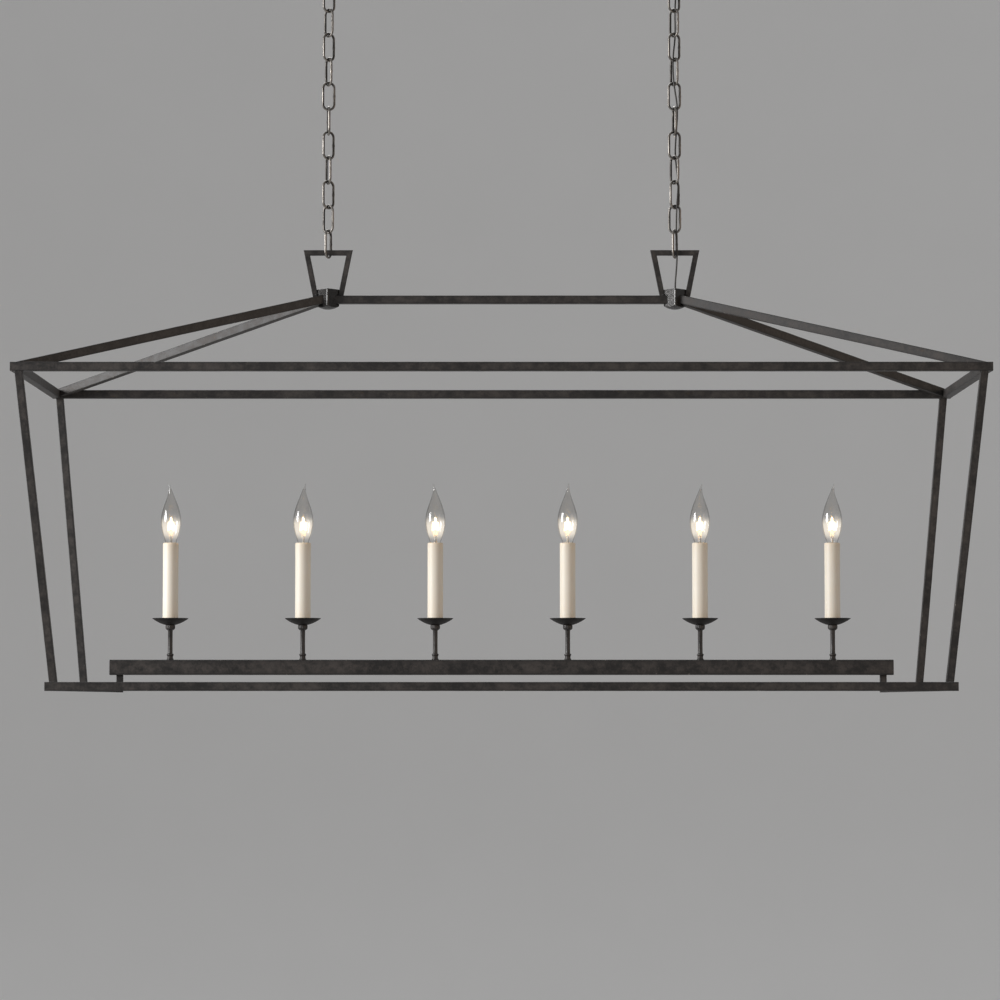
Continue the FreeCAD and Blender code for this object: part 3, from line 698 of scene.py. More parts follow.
class PENDANT_OT_light_bar(PieceOperator):
    """Makes the light bar with its end caps, the stubs that carry it and the braces below them"""

    bl_idname = "pendant.light_bar"
    bl_label = "Light bar"

    def build(self):
        self.tube()
        self.end_caps()
        for number, (name, sign) in enumerate(SIDES.items()):
            self.stub_and_braces(number, name, sign)
        paint_node("light_bar_wires", "cord_black")

    def sections(self):
        """The tube's outer and inner section, and how near each outer point lies to an arris."""
        low, high = corner_points("light_bar")
        size = high[2] - low[2]
        outer, edge = bar_section(size, size, 1.6 * MM)
        inner, _ = bar_section(size - 2 * LIGHT_BAR_WALL, size - 2 * LIGHT_BAR_WALL, 0.8 * MM)
        return outer, inner, edge

    def tube(self):
        s = sizes()
        (low, high), centre = corner_points("light_bar"), middle("light_bar")
        outer, inner, edge = self.sections()
        path = spaced([(low[0], centre[1], centre[2]), (high[0], centre[1], centre[2])], s.ring_step)
        skin = pressed(carried(outer, path, UP), path, s.hammer_depth * 0.6, s.hammer_size, 70)
        # the bore's rings run back from the far end, and both ends close into flat rims
        bore = carried(inner, path, UP)[::-1]
        wear = np.concatenate([np.broadcast_to(edge, skin.shape[:2]), np.zeros(bore.shape[:2])])
        Shape().grid(np.concatenate([skin, bore]), wear, loop=True).lantern_iron(
            "light_bar_tube", "light_bar")

    def end_caps(self):
        """Two plates with softened outer edges, each with a plug inside the tube."""
        outer, inner, edge = self.sections()
        end, z = corner_points("light_bar")[1][0], middle("light_bar")[2]
        caps = Shape()
        for sign in SIDES.values():
            face = sign * (end + END_CAP)
            plate = spaced([(face - sign * 0.01 * MM, 0, z), (face - sign * END_CAP, 0, z)], END_CAP / 4)
            shrink = np.array([0.93, 0.985, 1.0, 1.0, 1.0])[:len(plate), None, None]
            caps.grid(carried(outer[None] * shrink, plate, UP), edge)
            plug = spaced([(face - sign * END_CAP, 0, z), (face - sign * (END_CAP + 5 * MM), 0, z)], MM)
            caps.grid(carried(inner * 0.985, plug, UP), 0.0)
        caps.lantern_iron("light_bar_end_caps", "light_bar_caps")

    def stub_and_braces(self, number, name, sign):
        """A stub under the light bar, and the two braces that run from its foot to the frame's corners."""
        node, rail = "stub_" + name, corner_points("bottom_rail_front")
        (low, high), x = corner_points(node), middle(node)[0]
        bar_piece(node, [x, 0, low[2]], [x, 0, high[2]], high[0] - low[0], high[1] - low[1], FRONT,
                  80 + number)
        bar, shape = rail[1][2] - rail[0][2], Shape()
        for end, depth in enumerate((-1, 1)):
            corner = [sign * (rail[1][0] - bar / 2), depth * -(rail[0][1] + bar / 2),
                      rail[0][2] + BRACE_BAR / 2]
            foot = [x, 0, low[2] + BRACE_BAR / 2]
            forged_bar(shape, corner, foot, BRACE_BAR, BRACE_BAR, UP, 84 + 2 * number + end)
        shape.lantern_iron("braces_%s_forged" % name, "braces_" + name)


def paint_node(node, name):
    """Gives a node that keeps its own mesh its finish."""
    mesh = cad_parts[node].data
    mesh.materials.clear()
    mesh.materials.append(finish(name))


# ---- Candles and lamps ---------------------------------------------------------------------------
def candle_places():
    """The x of each candle's axis, from left to right."""
    return [middle("bulb_%d_base" % number)[0] for number in range(1, 7)]


def row_radius(node):
    """The radius of each of the six like pieces of a node that stand in a row."""
    places = candle_places()
    return (extent(node)[0] - (places[-1] - places[0])) / 2


STEM_STUD, STEM_COLLAR, COLLAR_FLUTES, FLUTE_DEPTH = 3.0 * MM, 7.0 * MM, 18, 0.045
PAN_WALL, SLEEVE_WALL = 1.1 * MM, 1.6 * MM


def pan_slope(low, high, radius):
    """The underside of a drip pan, as (radius, height): it rises from the collar by
    height * (u + u^2) / 2, where u goes from 0 at the collar to 1 at the rim."""
    share = np.linspace(0, 1, 16)
    reach = STEM_COLLAR + share * (radius - 0.3 * MM - STEM_COLLAR)
    return np.column_stack([reach, low + (high - PAN_WALL * 0.5 - low) * (share + share ** 2) / 2])


class PENDANT_OT_candles(PieceOperator):
    """Makes the turned stems, the drip pans and the ivory sleeves, and finishes the sockets inside them"""

    bl_idname = "pendant.candles"
    bl_label = "Candles"

    def stem(self, pan_low):
        """A turned stem: a ferrule with a bead on the light bar, a thin waist, and a collar under the pan
        whose radius is cut by flute depth * ((1 + cos(flutes * angle)) / 2)^2. Its bore is open."""
        low, high = (corner[2] for corner in corner_points("candle_stems"))
        foot = corner_points("light_bar")[1][2]
        bore, ferrule, groove, thin = 1.6 * MM, 5.0 * MM, 4.1 * MM, 3.5 * MM
        neck, shoulder = foot + 9 * MM, pan_low - 8 * MM
        outline = rounded([
            (bore, low), (STEM_STUD, low), (STEM_STUD, foot), (ferrule, foot), (ferrule, foot + 1.0 * MM),
            (groove, foot + 2.0 * MM), (groove, neck - 3.6 * MM), (ferrule, neck - 2.6 * MM),
            (ferrule, neck - 1.2 * MM), (ferrule - 0.8 * MM, neck - 0.2 * MM),
            (thin, neck), (thin - 0.15 * MM, (neck + shoulder) / 2), (thin, shoulder),
            (thin + 0.7 * MM, shoulder + 0.3 * MM), (STEM_COLLAR - 1.5 * MM, shoulder + 1.2 * MM),
            (STEM_COLLAR - 0.2 * MM, shoulder + 2.6 * MM), (STEM_COLLAR, pan_low - 4.4 * MM),
            (STEM_COLLAR, pan_low - 0.8 * MM), (STEM_COLLAR - 0.6 * MM, pan_low),
            (STEM_STUD, pan_low), (STEM_STUD, high), (bore, high)], 0.3 * MM)
        steps = sizes().turn_steps * 2
        angle = 2 * np.pi * np.arange(steps) / steps
        rings = turned(outline, steps)
        on_collar = (outline[:, 0] > STEM_COLLAR - 0.3 * MM) & (outline[:, 1] < pan_low - 0.7 * MM)
        flutes = on_collar[:, None] * (0.5 + 0.5 * np.cos(COLLAR_FLUTES * angle)) ** 2
        rings[..., :2] *= 1 - FLUTE_DEPTH * flutes[..., None]
        return rings

    def pan(self, under):
        """A pan's outline and wear: its underside, a rolled bead along its rim, and its upper side."""
        wall, low = PAN_WALL, under[0, 1]
        bend = np.linspace(-0.2, 0.9, 7)[:, None] * np.pi
        bead = (under[-1] + np.array([-wall * 0.5, wall * 0.15])
                + wall * 0.44 * np.concatenate([np.cos(bend), np.sin(bend)], axis=1))
        top = under[::-1][1:] + np.array([-wall * 0.35, wall])
        outline = np.concatenate([[(STEM_STUD, low)], under, bead, top, [(STEM_STUD, low + wall)]])
        wear = np.concatenate([[0.1], np.linspace(0.1, 0.5, 16), np.ones(7),
                               np.linspace(0.5, 0.1, 15), [0.1]])
        return outline, wear

    def sleeve(self, radius, low):
        """A sleeve's outline and tint: a moulded tube, a little slimmer in the middle, with a soft lip."""
        high, inner = corner_points("candle_sleeves")[1][2], radius - SLEEVE_WALL
        levels = np.array([0.0, 0.004, 0.03, 0.12, 0.3, 0.5, 0.7, 0.85, 0.93, 0.97])
        taper = np.array([0.10, 0.0, 0.0, 0.06, 0.10, 0.10, 0.10, 0.06, 0.0, 0.0]) * MM
        skin = np.column_stack([radius - taper, low + (high - low) * levels])
        lip = np.array([(radius, high - 1.5 * MM), (radius - 0.25 * MM, high - 0.7 * MM),
                        (radius - 0.8 * MM, high - 0.15 * MM), (radius - 1.2 * MM, high),
                        (inner, high - 0.3 * MM), (inner, low)])
        tint = np.array([0.8, 0.7, 0.35, 0.12, 0.02, 0.0, 0.02, 0.08, 0.18, 0.28,
                         0.45, 0.6, 0.75, 0.8, 0.8, 0.4])
        return np.concatenate([skin, lip]), tint

    def build(self):
        steps = sizes().turn_steps
        pan_low, pan_high = (corner[2] for corner in corner_points("drip_pans"))
        under = pan_slope(pan_low, pan_high, row_radius("drip_pans"))
        sleeve_radius = row_radius("candle_sleeves")
        # the sleeve stands on the pan's slope
        sleeve_low = PAN_WALL + np.interp(sleeve_radius, under[:, 0], under[:, 1])
        stem, (pan, pan_wear) = self.stem(pan_low), self.pan(under)
        sleeve, tint = self.sleeve(sleeve_radius, sleeve_low)
        stems, pans, sleeves = Shape(), Shape(), Shape()
        for x in candle_places():
            centre = (x, 0, 0)
            stems.grid(stem + np.array(centre), 0.12, loop=True)
            pans.grid(turned(pan, steps, centre), pan_wear[:, None], loop=True)
            sleeves.grid(turned(sleeve, steps, centre), tint[:, None], loop=True)
        stems.lantern_iron("candle_stems_turned", "candle_stems", "stem_iron")
        pans.lantern_iron("drip_pans_spun", "drip_pans", "pan_iron")
        sleeves.build("candle_sleeves_ivory", finish("candle_ivory"), "lantern", "candle_ivory",
                      ["candle_sleeves"])
        paint_node("lamp_sockets", "socket_plastic")


# a lamp's glass from its neck to its tip: shares of its height, of its widest radius, and the tip's lean
GLASS_SHARES = np.array([0.0, 0.06, 0.12, 0.25, 0.40, 0.52, 0.64, 0.76, 0.86, 0.94, 1.0])
GLASS_WIDTHS = np.array([0.41, 0.52, 0.64, 0.88, 1.0, 0.93, 0.72, 0.44, 0.22, 0.11, 0.04])
GLASS_LEANS = np.array([0, 0, 0, 0, 0, 0, 0, 0.2, 0.9, 2.2, 3.8]) * MM
# which way each lamp's tip leans, in degrees
TIP_TURNS = (200, 35, 150, 300, 20, 340)
# how far above the neck the glass mount ends
MOUNT_HEIGHT = 17 * MM
# the filament's middle line, in millimetres from the mount's top: it zigzags between its supports
FILAMENT_LINE = ((-3.9, 0.4, 6.6), (-3.1, 0.5, 20.0), (-1.5, -0.6, 9.0), (0.0, 0.0, 26.0),
                 (1.5, 0.6, 9.0), (3.1, -0.5, 20.0), (3.9, -0.4, 6.6))
FILAMENT_TURNS = 56


def eased(shares, knots, values):
    """A smooth curve through points: on each span a cubic whose slopes are those of its neighbours' chord."""
    slopes = np.gradient(values, knots)
    span = np.clip(np.searchsorted(knots, shares, side="right") - 1, 0, len(knots) - 2)
    width = knots[span + 1] - knots[span]
    t = (shares - knots[span]) / width
    return ((2 * t ** 3 - 3 * t ** 2 + 1) * values[span] + (t ** 3 - 2 * t ** 2 + t) * width * slopes[span]
            + (3 * t ** 2 - 2 * t ** 3) * values[span + 1] + (t ** 3 - t ** 2) * width * slopes[span + 1])


class PENDANT_OT_lamps(PieceOperator):
    """Makes the six lamps: glass, screw base, glass mount, lead wires and lit filament"""

    bl_idname = "pendant.lamps"
    bl_label = "Lamps"

    def glass(self, number, x, low, high, radius):
        """A bent-tip flame: circles from the neck to the tip, whose centres lean to one side."""
        steps, wall = 48, 0.55 * MM
        shares = np.concatenate([np.linspace(0, 0.9, 44), np.linspace(0.915, 1, 8)])
        width = eased(shares, GLASS_SHARES, GLASS_WIDTHS) * radius
        lean = eased(shares, GLASS_SHARES, GLASS_LEANS)
        height = low + shares * (high - low)
        turn = math.radians(TIP_TURNS[number - 1])
        angle = 2 * np.pi * np.arange(steps) / steps

        def rings(widths, count):
            centre = np.stack([x + lean * math.cos(turn), lean * math.sin(turn), height], axis=1)[:count]
            spread = np.stack([np.cos(angle), np.sin(angle), 0 * angle], axis=1)
            return centre[:, None] + widths[:count, None, None] * spread

        outer, inner = rings(width, len(shares)), rings(np.maximum(width - wall, 0.2 * MM), 45)
        name = "bulb_%d" % number
        Shape().grid(np.concatenate([inner[::-1], outer])).build(
            name + "_envelope", finish("clear_glass"), name, "clear_glass", [name + "_glass"], 60)

    def base(self, number, x, low, glass_low):
        """A screw shell: its radius follows r - d (1 + cos(2 pi height / pitch - angle)) / 2, over an
        insulator and a solder contact, all in one piece with the brass finish."""
        s = sizes()
        steps, shell, contact = 40, extent("bulb_%d_base" % number)[1] / 2, 3 * MM
        shell_low = low + contact
        angle = 2 * np.pi * np.arange(steps) / steps
        height = np.linspace(shell_low + 0.8 * MM, glass_low - 4 * MM, 46)[:, None]
        fade = np.clip(np.minimum(height - height[0], height[-1] - height) / MM, 0, 1)
        radius = shell - s.thread_depth * fade * (1 + np.cos(2 * np.pi * height / s.thread_pitch - angle)) / 2
        thread = np.stack([x + radius * np.cos(angle), radius * np.sin(angle), height + 0 * angle], axis=-1)
        ends = [(contact * 0.5, low), (contact * 0.8, low + 0.8 * MM), (contact * 0.85, shell_low - 0.8 * MM),
                (shell - 1.6 * MM, shell_low)]
        foot = turned(ends, steps, (x, 0, 0))
        cap = turned([(shell, glass_low - 3 * MM), (shell, glass_low - 1.2 * MM),
                      (shell - 0.3 * MM, glass_low - 0.2 * MM), (shell * 0.7, glass_low)], steps, (x, 0, 0))
        name = "bulb_%d" % number
        Shape().grid(np.concatenate([foot, thread, cap]), 0.3).build(
            name + "_screw_base", finish("lamp_brass"), name, "lamp_brass", [name + "_base"], 60)

    def mount(self, name, x, low):
        """The glass mount, the two lead wires and the support wire that it carries."""
        top = low + MOUNT_HEIGHT
        outline = rounded([(0.2 * MM, low), (4.2 * MM, low), (3.0 * MM, low + 3 * MM),
                           (2.0 * MM, low + 6 * MM), (1.9 * MM, top - 3 * MM), (2.3 * MM, top - 1.4 * MM),
                           (1.2 * MM, top), (0.2 * MM, top)], 0.6 * MM, closed=False)
        Shape().grid(turned(outline, 24, (x, 0, 0))).build(
            name + "_mount", finish("mount_glass"), name, "clear_glass", smooth=60)
        wires = Shape()
        for sign in (-1, 1):
            path = rounded([(x + sign * 0.9 * MM, 0, top - 6 * MM), (x + sign * 1.0 * MM, 0, top),
                            (x + sign * 3.6 * MM, 0, top + 3.0 * MM),
                            (x + sign * 3.9 * MM, 0, top + 7.2 * MM)], MM, closed=False)
            wires.grid(carried(round_section(0.5 * MM, 8), path, FRONT))
        path = rounded([(x, 0, top - 2 * MM), (x + 0.3 * MM, 0.6 * MM, top + 12 * MM),
                        (x, 0.4 * MM, top + 26.5 * MM)], MM, closed=False)
        wires.grid(carried(round_section(0.35 * MM, 6), path, FRONT))
        wires.build(name + "_lead_wires", finish("lead_wire"), name, "lamp_brass")

    def filament(self, name, x, top):
        """A coil round the filament's middle line: line + r (side cos(turn) + depth sin(turn)). It is
        hottest in the middle of its length."""
        s, depth = sizes(), np.array([0, 1.0, 0])
        path = rounded(FILAMENT_LINE, 1.6, 5, closed=False) * MM + np.array([x, 0, top])
        share = np.linspace(0, 1, FILAMENT_TURNS * 10 + 1)
        length = np.concatenate([[0], np.cumsum(np.linalg.norm(np.diff(path, axis=0), axis=1))])
        line = np.stack([np.interp(share * length[-1], length, path[:, k]) for k in range(3)], axis=1)
        side = unit(np.cross(unit(np.gradient(line, axis=0)), depth))
        turn = 2 * np.pi * FILAMENT_TURNS * share[:, None]
        coil = line + s.coil_width / 2 * (side * np.cos(turn) + depth * np.sin(turn))
        heat = np.sin(np.pi * share) ** 0.5
        wire = carried(round_section(s.coil_wire, 6), coil, np.array([0.3, 0.9, 0.2]))
        Shape().grid(wire, heat[:, None]).build(name + "_filament", finish("filament"), name, "lamp_brass")

    def build(self):
        radius = max(max(extent("bulb_%d_glass" % number)[:2]) for number in range(1, 7)) / 2
        for number, x in enumerate(candle_places(), 1):
            name = "bulb_%d" % number
            glass_low, glass_high = corner_points(name + "_glass")
            low = corner_points(name + "_base")[0][2]
            self.glass(number, x, glass_low[2], glass_high[2], radius)
            self.base(number, x, low, glass_low[2])
            self.mount(name, x, glass_low[2])
            self.filament(name, x, glass_low[2] + MOUNT_HEIGHT)


# ---- Chains --------------------------------------------------------------------------------------
# how far each link is turned about the chain, from the bottom up, in degrees
LEFT_TURNS = (65, -34, 31, -67, 31, 100, 8, -60, 31, -47, 25, 90)
RIGHT_TURNS = (68, -22, 42, -52, 14, -80, 4, -58, 22, -50, 22, 90)
LINK_WIRE, LINK_WIDTH, LINK_LINE, LINK_PITCH = 3.6 * MM, 20 * MM, 40.25 * MM, 36.4 * MM


def link(shape, x, z_low, turn, seed):
    """An oval link: two half circles and two straights. Its wire swells at the weld in one straight,
    is sunk a little all over in soft dents, and is brightest on its outer side."""
    s = sizes()
    radius = (LINK_WIDTH - LINK_WIRE) / 2
    straight = LINK_LINE - 2 * radius
    half = np.radians(np.linspace(0, 180, 17))
    low = np.stack([radius * np.cos(half + np.pi), z_low + radius + radius * np.sin(half + np.pi)], axis=1)
    high = np.stack([radius * np.cos(half), z_low + radius + straight + radius * np.sin(half)], axis=1)
    rise = np.linspace(0, straight, 9)[1:-1] + z_low + radius
    right = np.stack([radius + 0 * rise, rise], axis=1)
    left = np.stack([-radius + 0 * rise, rise[::-1]], axis=1)
    line = np.concatenate([low, right, high, left])
    theta = math.radians(turn)
    across = np.array([math.cos(theta), math.sin(theta), 0])
    normal = np.array([-math.sin(theta), math.cos(theta), 0])
    path = np.array([x, 0, 0]) + line[:, :1] * across + line[:, 1:] * UP
    section = round_section(LINK_WIRE, 16)
    middle_z = z_low + radius + straight / 2
    gap = np.hypot(line[:, 0] - radius, (line[:, 1] - middle_z)) / (1.9 * MM)
    swell = 1 + (s.link_seam * 2 / LINK_WIRE) * np.exp(-gap ** 2) * (1 + 0.6 * np.cos(7 * gap))
    rings = carried(section[None] * swell[:, None, None], path, normal, loop=True)
    centre = np.array([x, 0, middle_z])
    outward = np.sum(unit(rings - path[:, None]) * unit(path - centre)[:, None], axis=-1)
    dent = 0.05 * MM * noise(rings, 4 * MM, seed)
    rings = rings + unit(rings - path[:, None]) * (dent - 0.05 * MM)[..., None]
    shape.grid(rings, 0.5 + 0.5 * outward, loop=True)


class PENDANT_OT_chains(PieceOperator):
    """Makes the two chains of welded oval links"""

    bl_idname = "pendant.chains"
    bl_label = "Chains"

    def build(self):
        for side, turns in (("left", LEFT_TURNS), ("right", RIGHT_TURNS)):
            x = middle("bottom_link_" + side)[0]
            first = corner_points("bottom_link_" + side)[0][2] + LINK_WIRE / 2
            groups = {"bottom_link_" + side: range(1), "chain_" + side: range(1, len(turns) - 1),
                      "top_link_" + side: range(len(turns) - 1, len(turns))}
            for node, numbers in groups.items():
                shape = Shape()
                for number in numbers:
                    link(shape, x, first + number * LINK_PITCH, turns[number], 100 + number)
                shape.build(node + "_welded", finish("chain_steel"), node, "chain_steel", [node], 60)


# ---- Lamp cord -----------------------------------------------------------------------------------
# the route from the canopy's nipple down to the hub, in millimetres: x and y from the right chain's axis,
# and z from the ceiling
CORD_ROUTES = {
    "cord_top": ((0.0, 0.0, -3.0), (0.4, 0.3, -17.0), (0.0, 0.0, -30.0), (0.4, -0.5, -42.0),
                 (4.6, -5.4, -56.0), (4.2, -5.35, -73.0)),
    "cord_run": ((4.2, -5.35, -73.0), (3.8, -5.3, -90.0), (1.2, 5.4, -126.5), (2.4, 5.7, -162.9),
                 (-2.5, -5.5, -199.3), (-1.4, -6.3, -235.7), (5.2, -4.1, -272.1), (2.8, 5.8, -308.5),
                 (0.7, 4.7, -344.9), (6.3, 0.0, -381.3), (2.7, -5.9, -417.7), (2.0, -4.6, -454.1),
                 (2.7, -4.65, -468.8)),
    "cord_drop": ((2.7, -4.65, -468.8), (3.4, -4.7, -483.5), (2.4, -3.4, -507.5), (0.4, -0.7, -529.5),
                  (0.0, 0.0, -548.5)),
}
CORD_DIAMETER = 2.4 * MM
# each stretch of the cord crosses one joint: the two bodies, and the heights where the bend starts and ends
CORD_SPANS = {
    "lamp_cord_top": ("ceiling", "top_link_right", -3.0, -73.0, -40.0, -70.0, "cord_top"),
    "lamp_cord_upper_run": ("top_link_right", "chain_right", -73.0, -270.0, -75.0, -112.0, None),
    "lamp_cord_lower_run": ("chain_right", "bottom_link_right", -270.0, -468.8, -430.0, -466.0, "cord_run"),
    "lamp_cord_drop": ("bottom_link_right", "lantern", -468.8, -548.5, -470.0, -520.0, "cord_drop"),
}


class PENDANT_OT_cord(PieceOperator):
    """Makes the thin lamp cord that is woven through the right chain"""

    bl_idname = "pendant.cord"
    bl_label = "Lamp cord"

    def centre_line(self, x):
        """Points of one smooth spline whose control points are the cord's route."""
        route = CORD_ROUTES["cord_top"] + CORD_ROUTES["cord_run"][1:] + CORD_ROUTES["cord_drop"][1:]
        curve = bpy.data.curves.new("cord route", "CURVE")
        curve.dimensions = "3D"
        spline = curve.splines.new("NURBS")
        spline.points.add(len(route) - 1)
        for point, (side, depth, height) in zip(spline.points, route):
            point.co = (x + side * MM, depth * MM, height * MM, 1.0)
        spline.order_u = 3
        spline.use_endpoint_u = True
        spline.resolution_u = 10
        holder = bpy.data.objects.new("cord route", curve)
        bpy.context.scene.collection.objects.link(holder)
        bpy.context.view_layer.update()
        mesh = bpy.data.meshes.new_from_object(holder)
        points = np.array([vertex.co for vertex in mesh.vertices])
        bpy.data.objects.remove(holder)
        bpy.data.meshes.remove(mesh)
        bpy.data.curves.remove(curve)
        return points

    def build(self):
        x = middle("hub_right")[0]
        line = self.centre_line(x)
        for name, (upper, lower, top, bottom, start, end, node) in CORD_SPANS.items():
            low = bottom * MM - (0.0 if node == "cord_drop" else 0.5 * MM)
            points = line[(line[:, 2] <= top * MM + 1e-6) & (line[:, 2] >= low)]
            if node != "cord_drop":
                after = line[line[:, 2] < low][:1]
                points = np.concatenate([points, after])
            rings = carried(round_section(CORD_DIAMETER, 14), points, np.array([0.2, 1.0, 0.0]))
            piece = Shape().grid(rings, 0.2).build(name, finish("cord_black"), None, "cord_black",
                                                   [node] if node else [], 60)
            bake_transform(piece)


# ---- Ceiling fittings ----------------------------------------------------------------------------
class PENDANT_OT_ceiling(PieceOperator):
    """Makes the canopies and their screw-collar loops, and finishes the straps, nipples and nuts"""

    bl_idname = "pendant.ceiling"
    bl_label = "Ceiling fittings"

    def canopy(self, side, x):
        """A spun cover: a flat round its hole, a quarter circle for its shoulder, and a rolled rim."""
        low, high = corner_points("canopy_" + side)
        radius, drop, wall, hole, shoulder = (high[0] - low[0]) / 2, low[2], 1.5 * MM, 5.2 * MM, 17.5 * MM
        bend = np.linspace(0, np.pi / 2, 14)
        outer = np.column_stack([radius - shoulder + shoulder * np.sin(bend),
                                 drop + shoulder - shoulder * np.cos(bend)])
        # a shallow ring is pressed into the flat round the hole, and the rim is rolled
        step = np.array([(hole, drop), (radius * 0.30, drop), (radius * 0.34, drop + 0.5 * MM),
                         (radius * 0.38, drop + 0.5 * MM), (radius * 0.42, drop)])
        rim = np.array([(radius, high[2] - 2.4 * MM), (radius - 0.5 * MM, high[2] - 1.8 * MM),
                        (radius, high[2] - 0.8 * MM), (radius, high[2] - 0.1 * MM), (radius - wall, high[2])])
        inner = outer[::-1] + np.array([-wall * 0.9, wall * 0.9])
        outline = np.concatenate([step, outer, rim, inner, [(hole, drop + wall)]])
        wear = np.concatenate([[0.4, 0.1, 0.6, 0.5, 0.2], np.linspace(0.2, 0.5, 14),
                               [0.5, 0.8, 0.9, 0.9, 0.5], np.zeros(15)])
        Shape().grid(turned(outline, 96, (x, 0, 0)), wear[:, None], loop=True).build(
            "canopy_%s_spun" % side, finish("aged_iron"), "ceiling", "aged_iron", ["canopy_" + side])

    def loop(self, side, x):
        """A knurled screw collar that holds the canopy, and the ring below it that carries the chain."""
        node = "canopy_loop_" + side
        low, high = corner_points(node)
        top, collar_low = high[2], high[2] - 10 * MM
        wire, ring_width = 5.0 * MM, 26 * MM
        ring_radius = (ring_width - wire) / 2
        collar = rounded([(4.9 * MM, top), (11.5 * MM, top), (11.5 * MM, top - 2.5 * MM),
                          (9.5 * MM, top - 2.7 * MM), (9.5 * MM, collar_low + 1.5 * MM),
                          (7.6 * MM, collar_low - 0.4 * MM), (4.6 * MM, collar_low - 5.6 * MM),
                          (3.6 * MM, collar_low - 6.5 * MM), (2.1 * MM, collar_low - 6.5 * MM),
                          (2.1 * MM, top - 8 * MM), (4.9 * MM, top - 8 * MM)], 0.5 * MM)
        steps, centre = 120, np.array([x, 0, 0])
        spread = turned(collar, steps)
        far, height = np.hypot(spread[..., 0], spread[..., 1]), spread[..., 2]
        # in a band of the collar, two of every four columns are sunk by 3%, as a knurl
        banded = (height < top - 3.4 * MM) & (height > collar_low + MM)
        knurled = banded & (far > 9.0 * MM) & (far < 10.0 * MM)
        ridge = np.where(knurled, 1 - 0.03 * (np.arange(steps) % 4 < 2), 1.0)
        spread[..., :2] *= ridge[..., None]
        shape = Shape().grid(centre + spread, 0.45, loop=True)
        angle = 2 * np.pi * np.arange(64) / 64
        centre_z = low[2] + wire / 2 + ring_radius
        path = np.stack([x + ring_radius * np.sin(angle), 0 * angle,
                         centre_z - ring_radius * np.cos(angle)], axis=1)
        rings = carried(round_section(wire, 18), path, FRONT, loop=True)
        shape.grid(pressed(rings, path, 0.08 * MM, 5 * MM, 9), 0.55, loop=True)
        shape.build(node + "_cast", finish("aged_iron"), "ceiling", "aged_iron", [node])

    def build(self):
        for side in SIDES:
            x = middle("canopy_loop_" + side)[0]
            self.canopy(side, x)
            self.loop(side, x)
        for node in ("ceiling_straps", "canopy_nipples", "lock_nuts"):
            paint_node(node, "zinc_steel")


# ---- Stage ---------------------------------------------------------------------------------------
# the camera, from the picture's perspective: its lens and its horizon in pixels, and its distance
LENS_PIXELS, FRAME_PIXELS, SENSOR = 3203.0, 1000.0, 36.0
HORIZON_PIXEL, CENTRE_PIXEL = 692.0, 501.5
CAMERA_DISTANCE, EYE_BELOW_FRAME = 4.665, 1.4 * MM
# the studio: how far its floor lies below the frame, its flat radius, the bend's radius and the wall's height
FLOOR_DROP, FLOOR_REACH, WALL_BEND, WALL_HEIGHT, ROUND_STEPS = 2.2, 8.0, 1.6, 7.0, 96


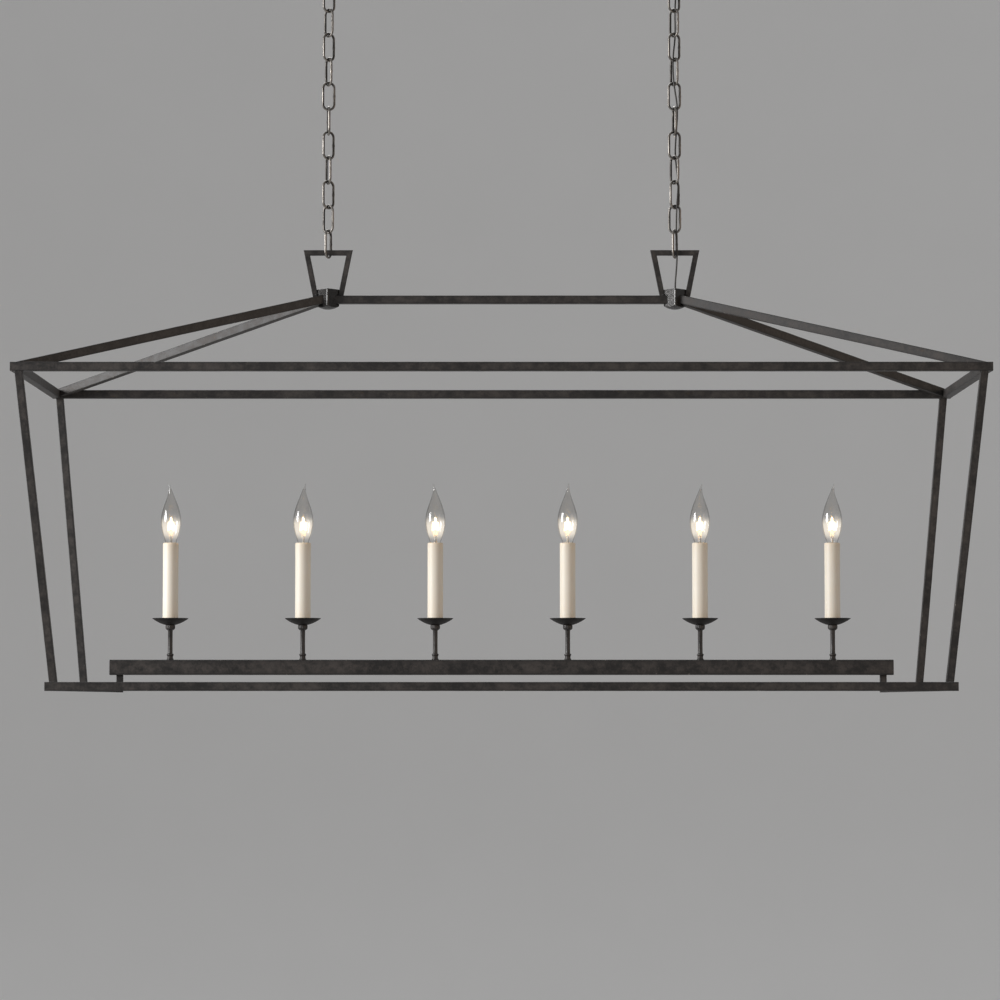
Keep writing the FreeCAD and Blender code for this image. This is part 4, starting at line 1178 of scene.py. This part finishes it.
class PENDANT_OT_stage(PieceOperator):
    """Makes the floor and backdrop, the soft lights and the camera"""

    bl_idname = "pendant.stage"
    bl_label = "Stage"

    def backdrop(self, floor_z):
        """A round floor whose edge curves up into a wall on every side: a profile turned about the middle."""
        angle = np.linspace(0, np.pi / 2, 13)
        bend = np.column_stack([FLOOR_REACH + WALL_BEND * np.sin(angle), WALL_BEND * (1 - np.cos(angle))])
        wall = np.concatenate([bend, [(FLOOR_REACH + WALL_BEND, WALL_HEIGHT)]])
        for name, profile in (("floor", np.array([(MM, 0.0), (FLOOR_REACH, 0.0)])), ("backdrop", wall)):
            rings = turned(profile + np.array([0, floor_z]), ROUND_STEPS)
            index = np.arange(rings.shape[0] * ROUND_STEPS).reshape(-1, ROUND_STEPS)
            around = np.concatenate([index, index[:, :1]], axis=1)
            faces = np.stack([around[:-1, :-1], around[1:, :-1], around[1:, 1:], around[:-1, 1:]], axis=-1)
            mesh = bpy.data.meshes.new(name)
            mesh.from_pydata(rings.reshape(-1, 3).tolist(), [], faces.reshape(-1, 4).tolist())
            mesh.polygons.foreach_set("use_smooth", np.ones(len(mesh.polygons), bool))
            stage = bpy.data.objects.new(name, mesh)
            bpy.context.scene.collection.objects.link(stage)
            mesh.materials.append(self.paint())
        # the wall is seen, but the world's light comes through it
        stage.visible_diffuse = stage.visible_shadow = False

    def paint(self):
        """Pale paint with faint clouds, which the camera and reflections see and soft light doesn't."""
        f = Finish("floor paint")
        seen = sum((f.node("LightPath", out=kind) for kind in ("Is Camera Ray", "Is Glossy Ray",
                                                               "Is Transmission Ray")), 0.0).clamped()
        pale = f.mixed(f.noise(3, 3, 0.5), colours().floor, (0.91, 0.895, 0.88))
        return f.surface(Base_Color=f.mixed(seen, (0.12, 0.115, 0.11), pale),
                         Roughness=0.75 + f.noise(40) * 0.1)

    def lamp(self, name, place, target, size, power, colour=(1, 1, 1)):
        """A round soft light that shines at a point."""
        light = bpy.data.lights.new(name, "AREA")
        light.shape, light.size, light.energy, light.color = "DISK", size, power, colour
        holder = bpy.data.objects.new(name, light)
        bpy.context.scene.collection.objects.link(holder)
        holder.location = place
        aim(holder, target)

    def build(self):
        frame_z = corner_points("bottom_rail_front")[0][2]
        lantern_z = (frame_z + corner_points("hanger_left")[1][2]) / 2
        self.backdrop(frame_z - FLOOR_DROP)
        middle_point = (0, 0, lantern_z)
        self.lamp("key", (-3.9, -1.6, lantern_z + 0.9), middle_point, 2.0, 190)
        self.lamp("fill", (3.6, -3.0, lantern_z + 0.4), middle_point, 2.6, 24, (1.0, 0.72, 0.48))
        self.lamp("back", (-0.6, 2.4, lantern_z + 2.2), middle_point, 2.2, 40)
        world = bpy.data.worlds.new("studio")
        world.use_nodes = True
        bpy.context.scene.world = world
        background = world.node_tree.nodes["Background"]
        background.inputs["Color"].default_value = (0.80, 0.82, 0.84, 1)
        background.inputs["Strength"].default_value = 0.42
        camera = bpy.data.cameras.new("camera")
        camera.sensor_width, camera.lens = SENSOR, LENS_PIXELS / FRAME_PIXELS * SENSOR
        camera.clip_end = 60
        holder = bpy.data.objects.new("camera", camera)
        bpy.context.scene.collection.objects.link(holder)
        holder.location = (0, -CAMERA_DISTANCE, frame_z - EYE_BELOW_FRAME)
        tilt = math.atan((HORIZON_PIXEL - FRAME_PIXELS / 2) / LENS_PIXELS)
        pan = math.atan((CENTRE_PIXEL - FRAME_PIXELS / 2) / LENS_PIXELS)
        holder.rotation_euler = (math.pi / 2 + tilt, 0, pan)
        bpy.context.scene.camera = holder
        bpy.context.scene.view_settings.view_transform = "Standard"


def aim(holder, target):
    """Turns a lamp so that it shines at a point."""
    away = np.array(holder.location) - np.array(target)
    flat = math.hypot(away[0], away[1])
    holder.rotation_euler = (math.atan2(flat, away[2]), 0, math.atan2(away[0], -away[1]))


class PENDANT_PT_sidebar(bpy.types.Panel):
    """Lists the pendant's sizes, colours and pieces"""

    bl_idname = "PENDANT_PT_sidebar"
    bl_label = "Pendant"
    bl_space_type = "VIEW_3D"
    bl_region_type = "UI"
    bl_category = "Pendant"

    def draw(self, context):
        column = self.layout.column(align=True)
        for operator in PIECE_OPERATORS:
            column.operator(operator.bl_idname)
        for group in (context.scene.pendant_sizes, context.scene.pendant_colours):
            for name in group.__annotations__:
                self.layout.prop(group, name)


PIECE_OPERATORS = (PENDANT_OT_stage, PENDANT_OT_cord, PENDANT_OT_rails, PENDANT_OT_posts, PENDANT_OT_roof,
                   PENDANT_OT_hangers, PENDANT_OT_light_bar, PENDANT_OT_candles, PENDANT_OT_lamps,
                   PENDANT_OT_chains, PENDANT_OT_ceiling)
CLASSES = (PendantSizes, PendantColours) + PIECE_OPERATORS + (PENDANT_PT_sidebar,)


def register():
    for each in CLASSES:
        bpy.utils.register_class(each)
    bpy.types.Scene.pendant_sizes = PointerProperty(type=PendantSizes)
    bpy.types.Scene.pendant_colours = PointerProperty(type=PendantColours)


def unregister():
    del bpy.types.Scene.pendant_colours
    del bpy.types.Scene.pendant_sizes
    for each in reversed(CLASSES):
        bpy.utils.unregister_class(each)


def main():
    register()
    for operator in PIECE_OPERATORS:
        group, name = operator.bl_idname.split(".")
        getattr(getattr(bpy.ops, group), name)()


if __name__ == "__main__":
    main()
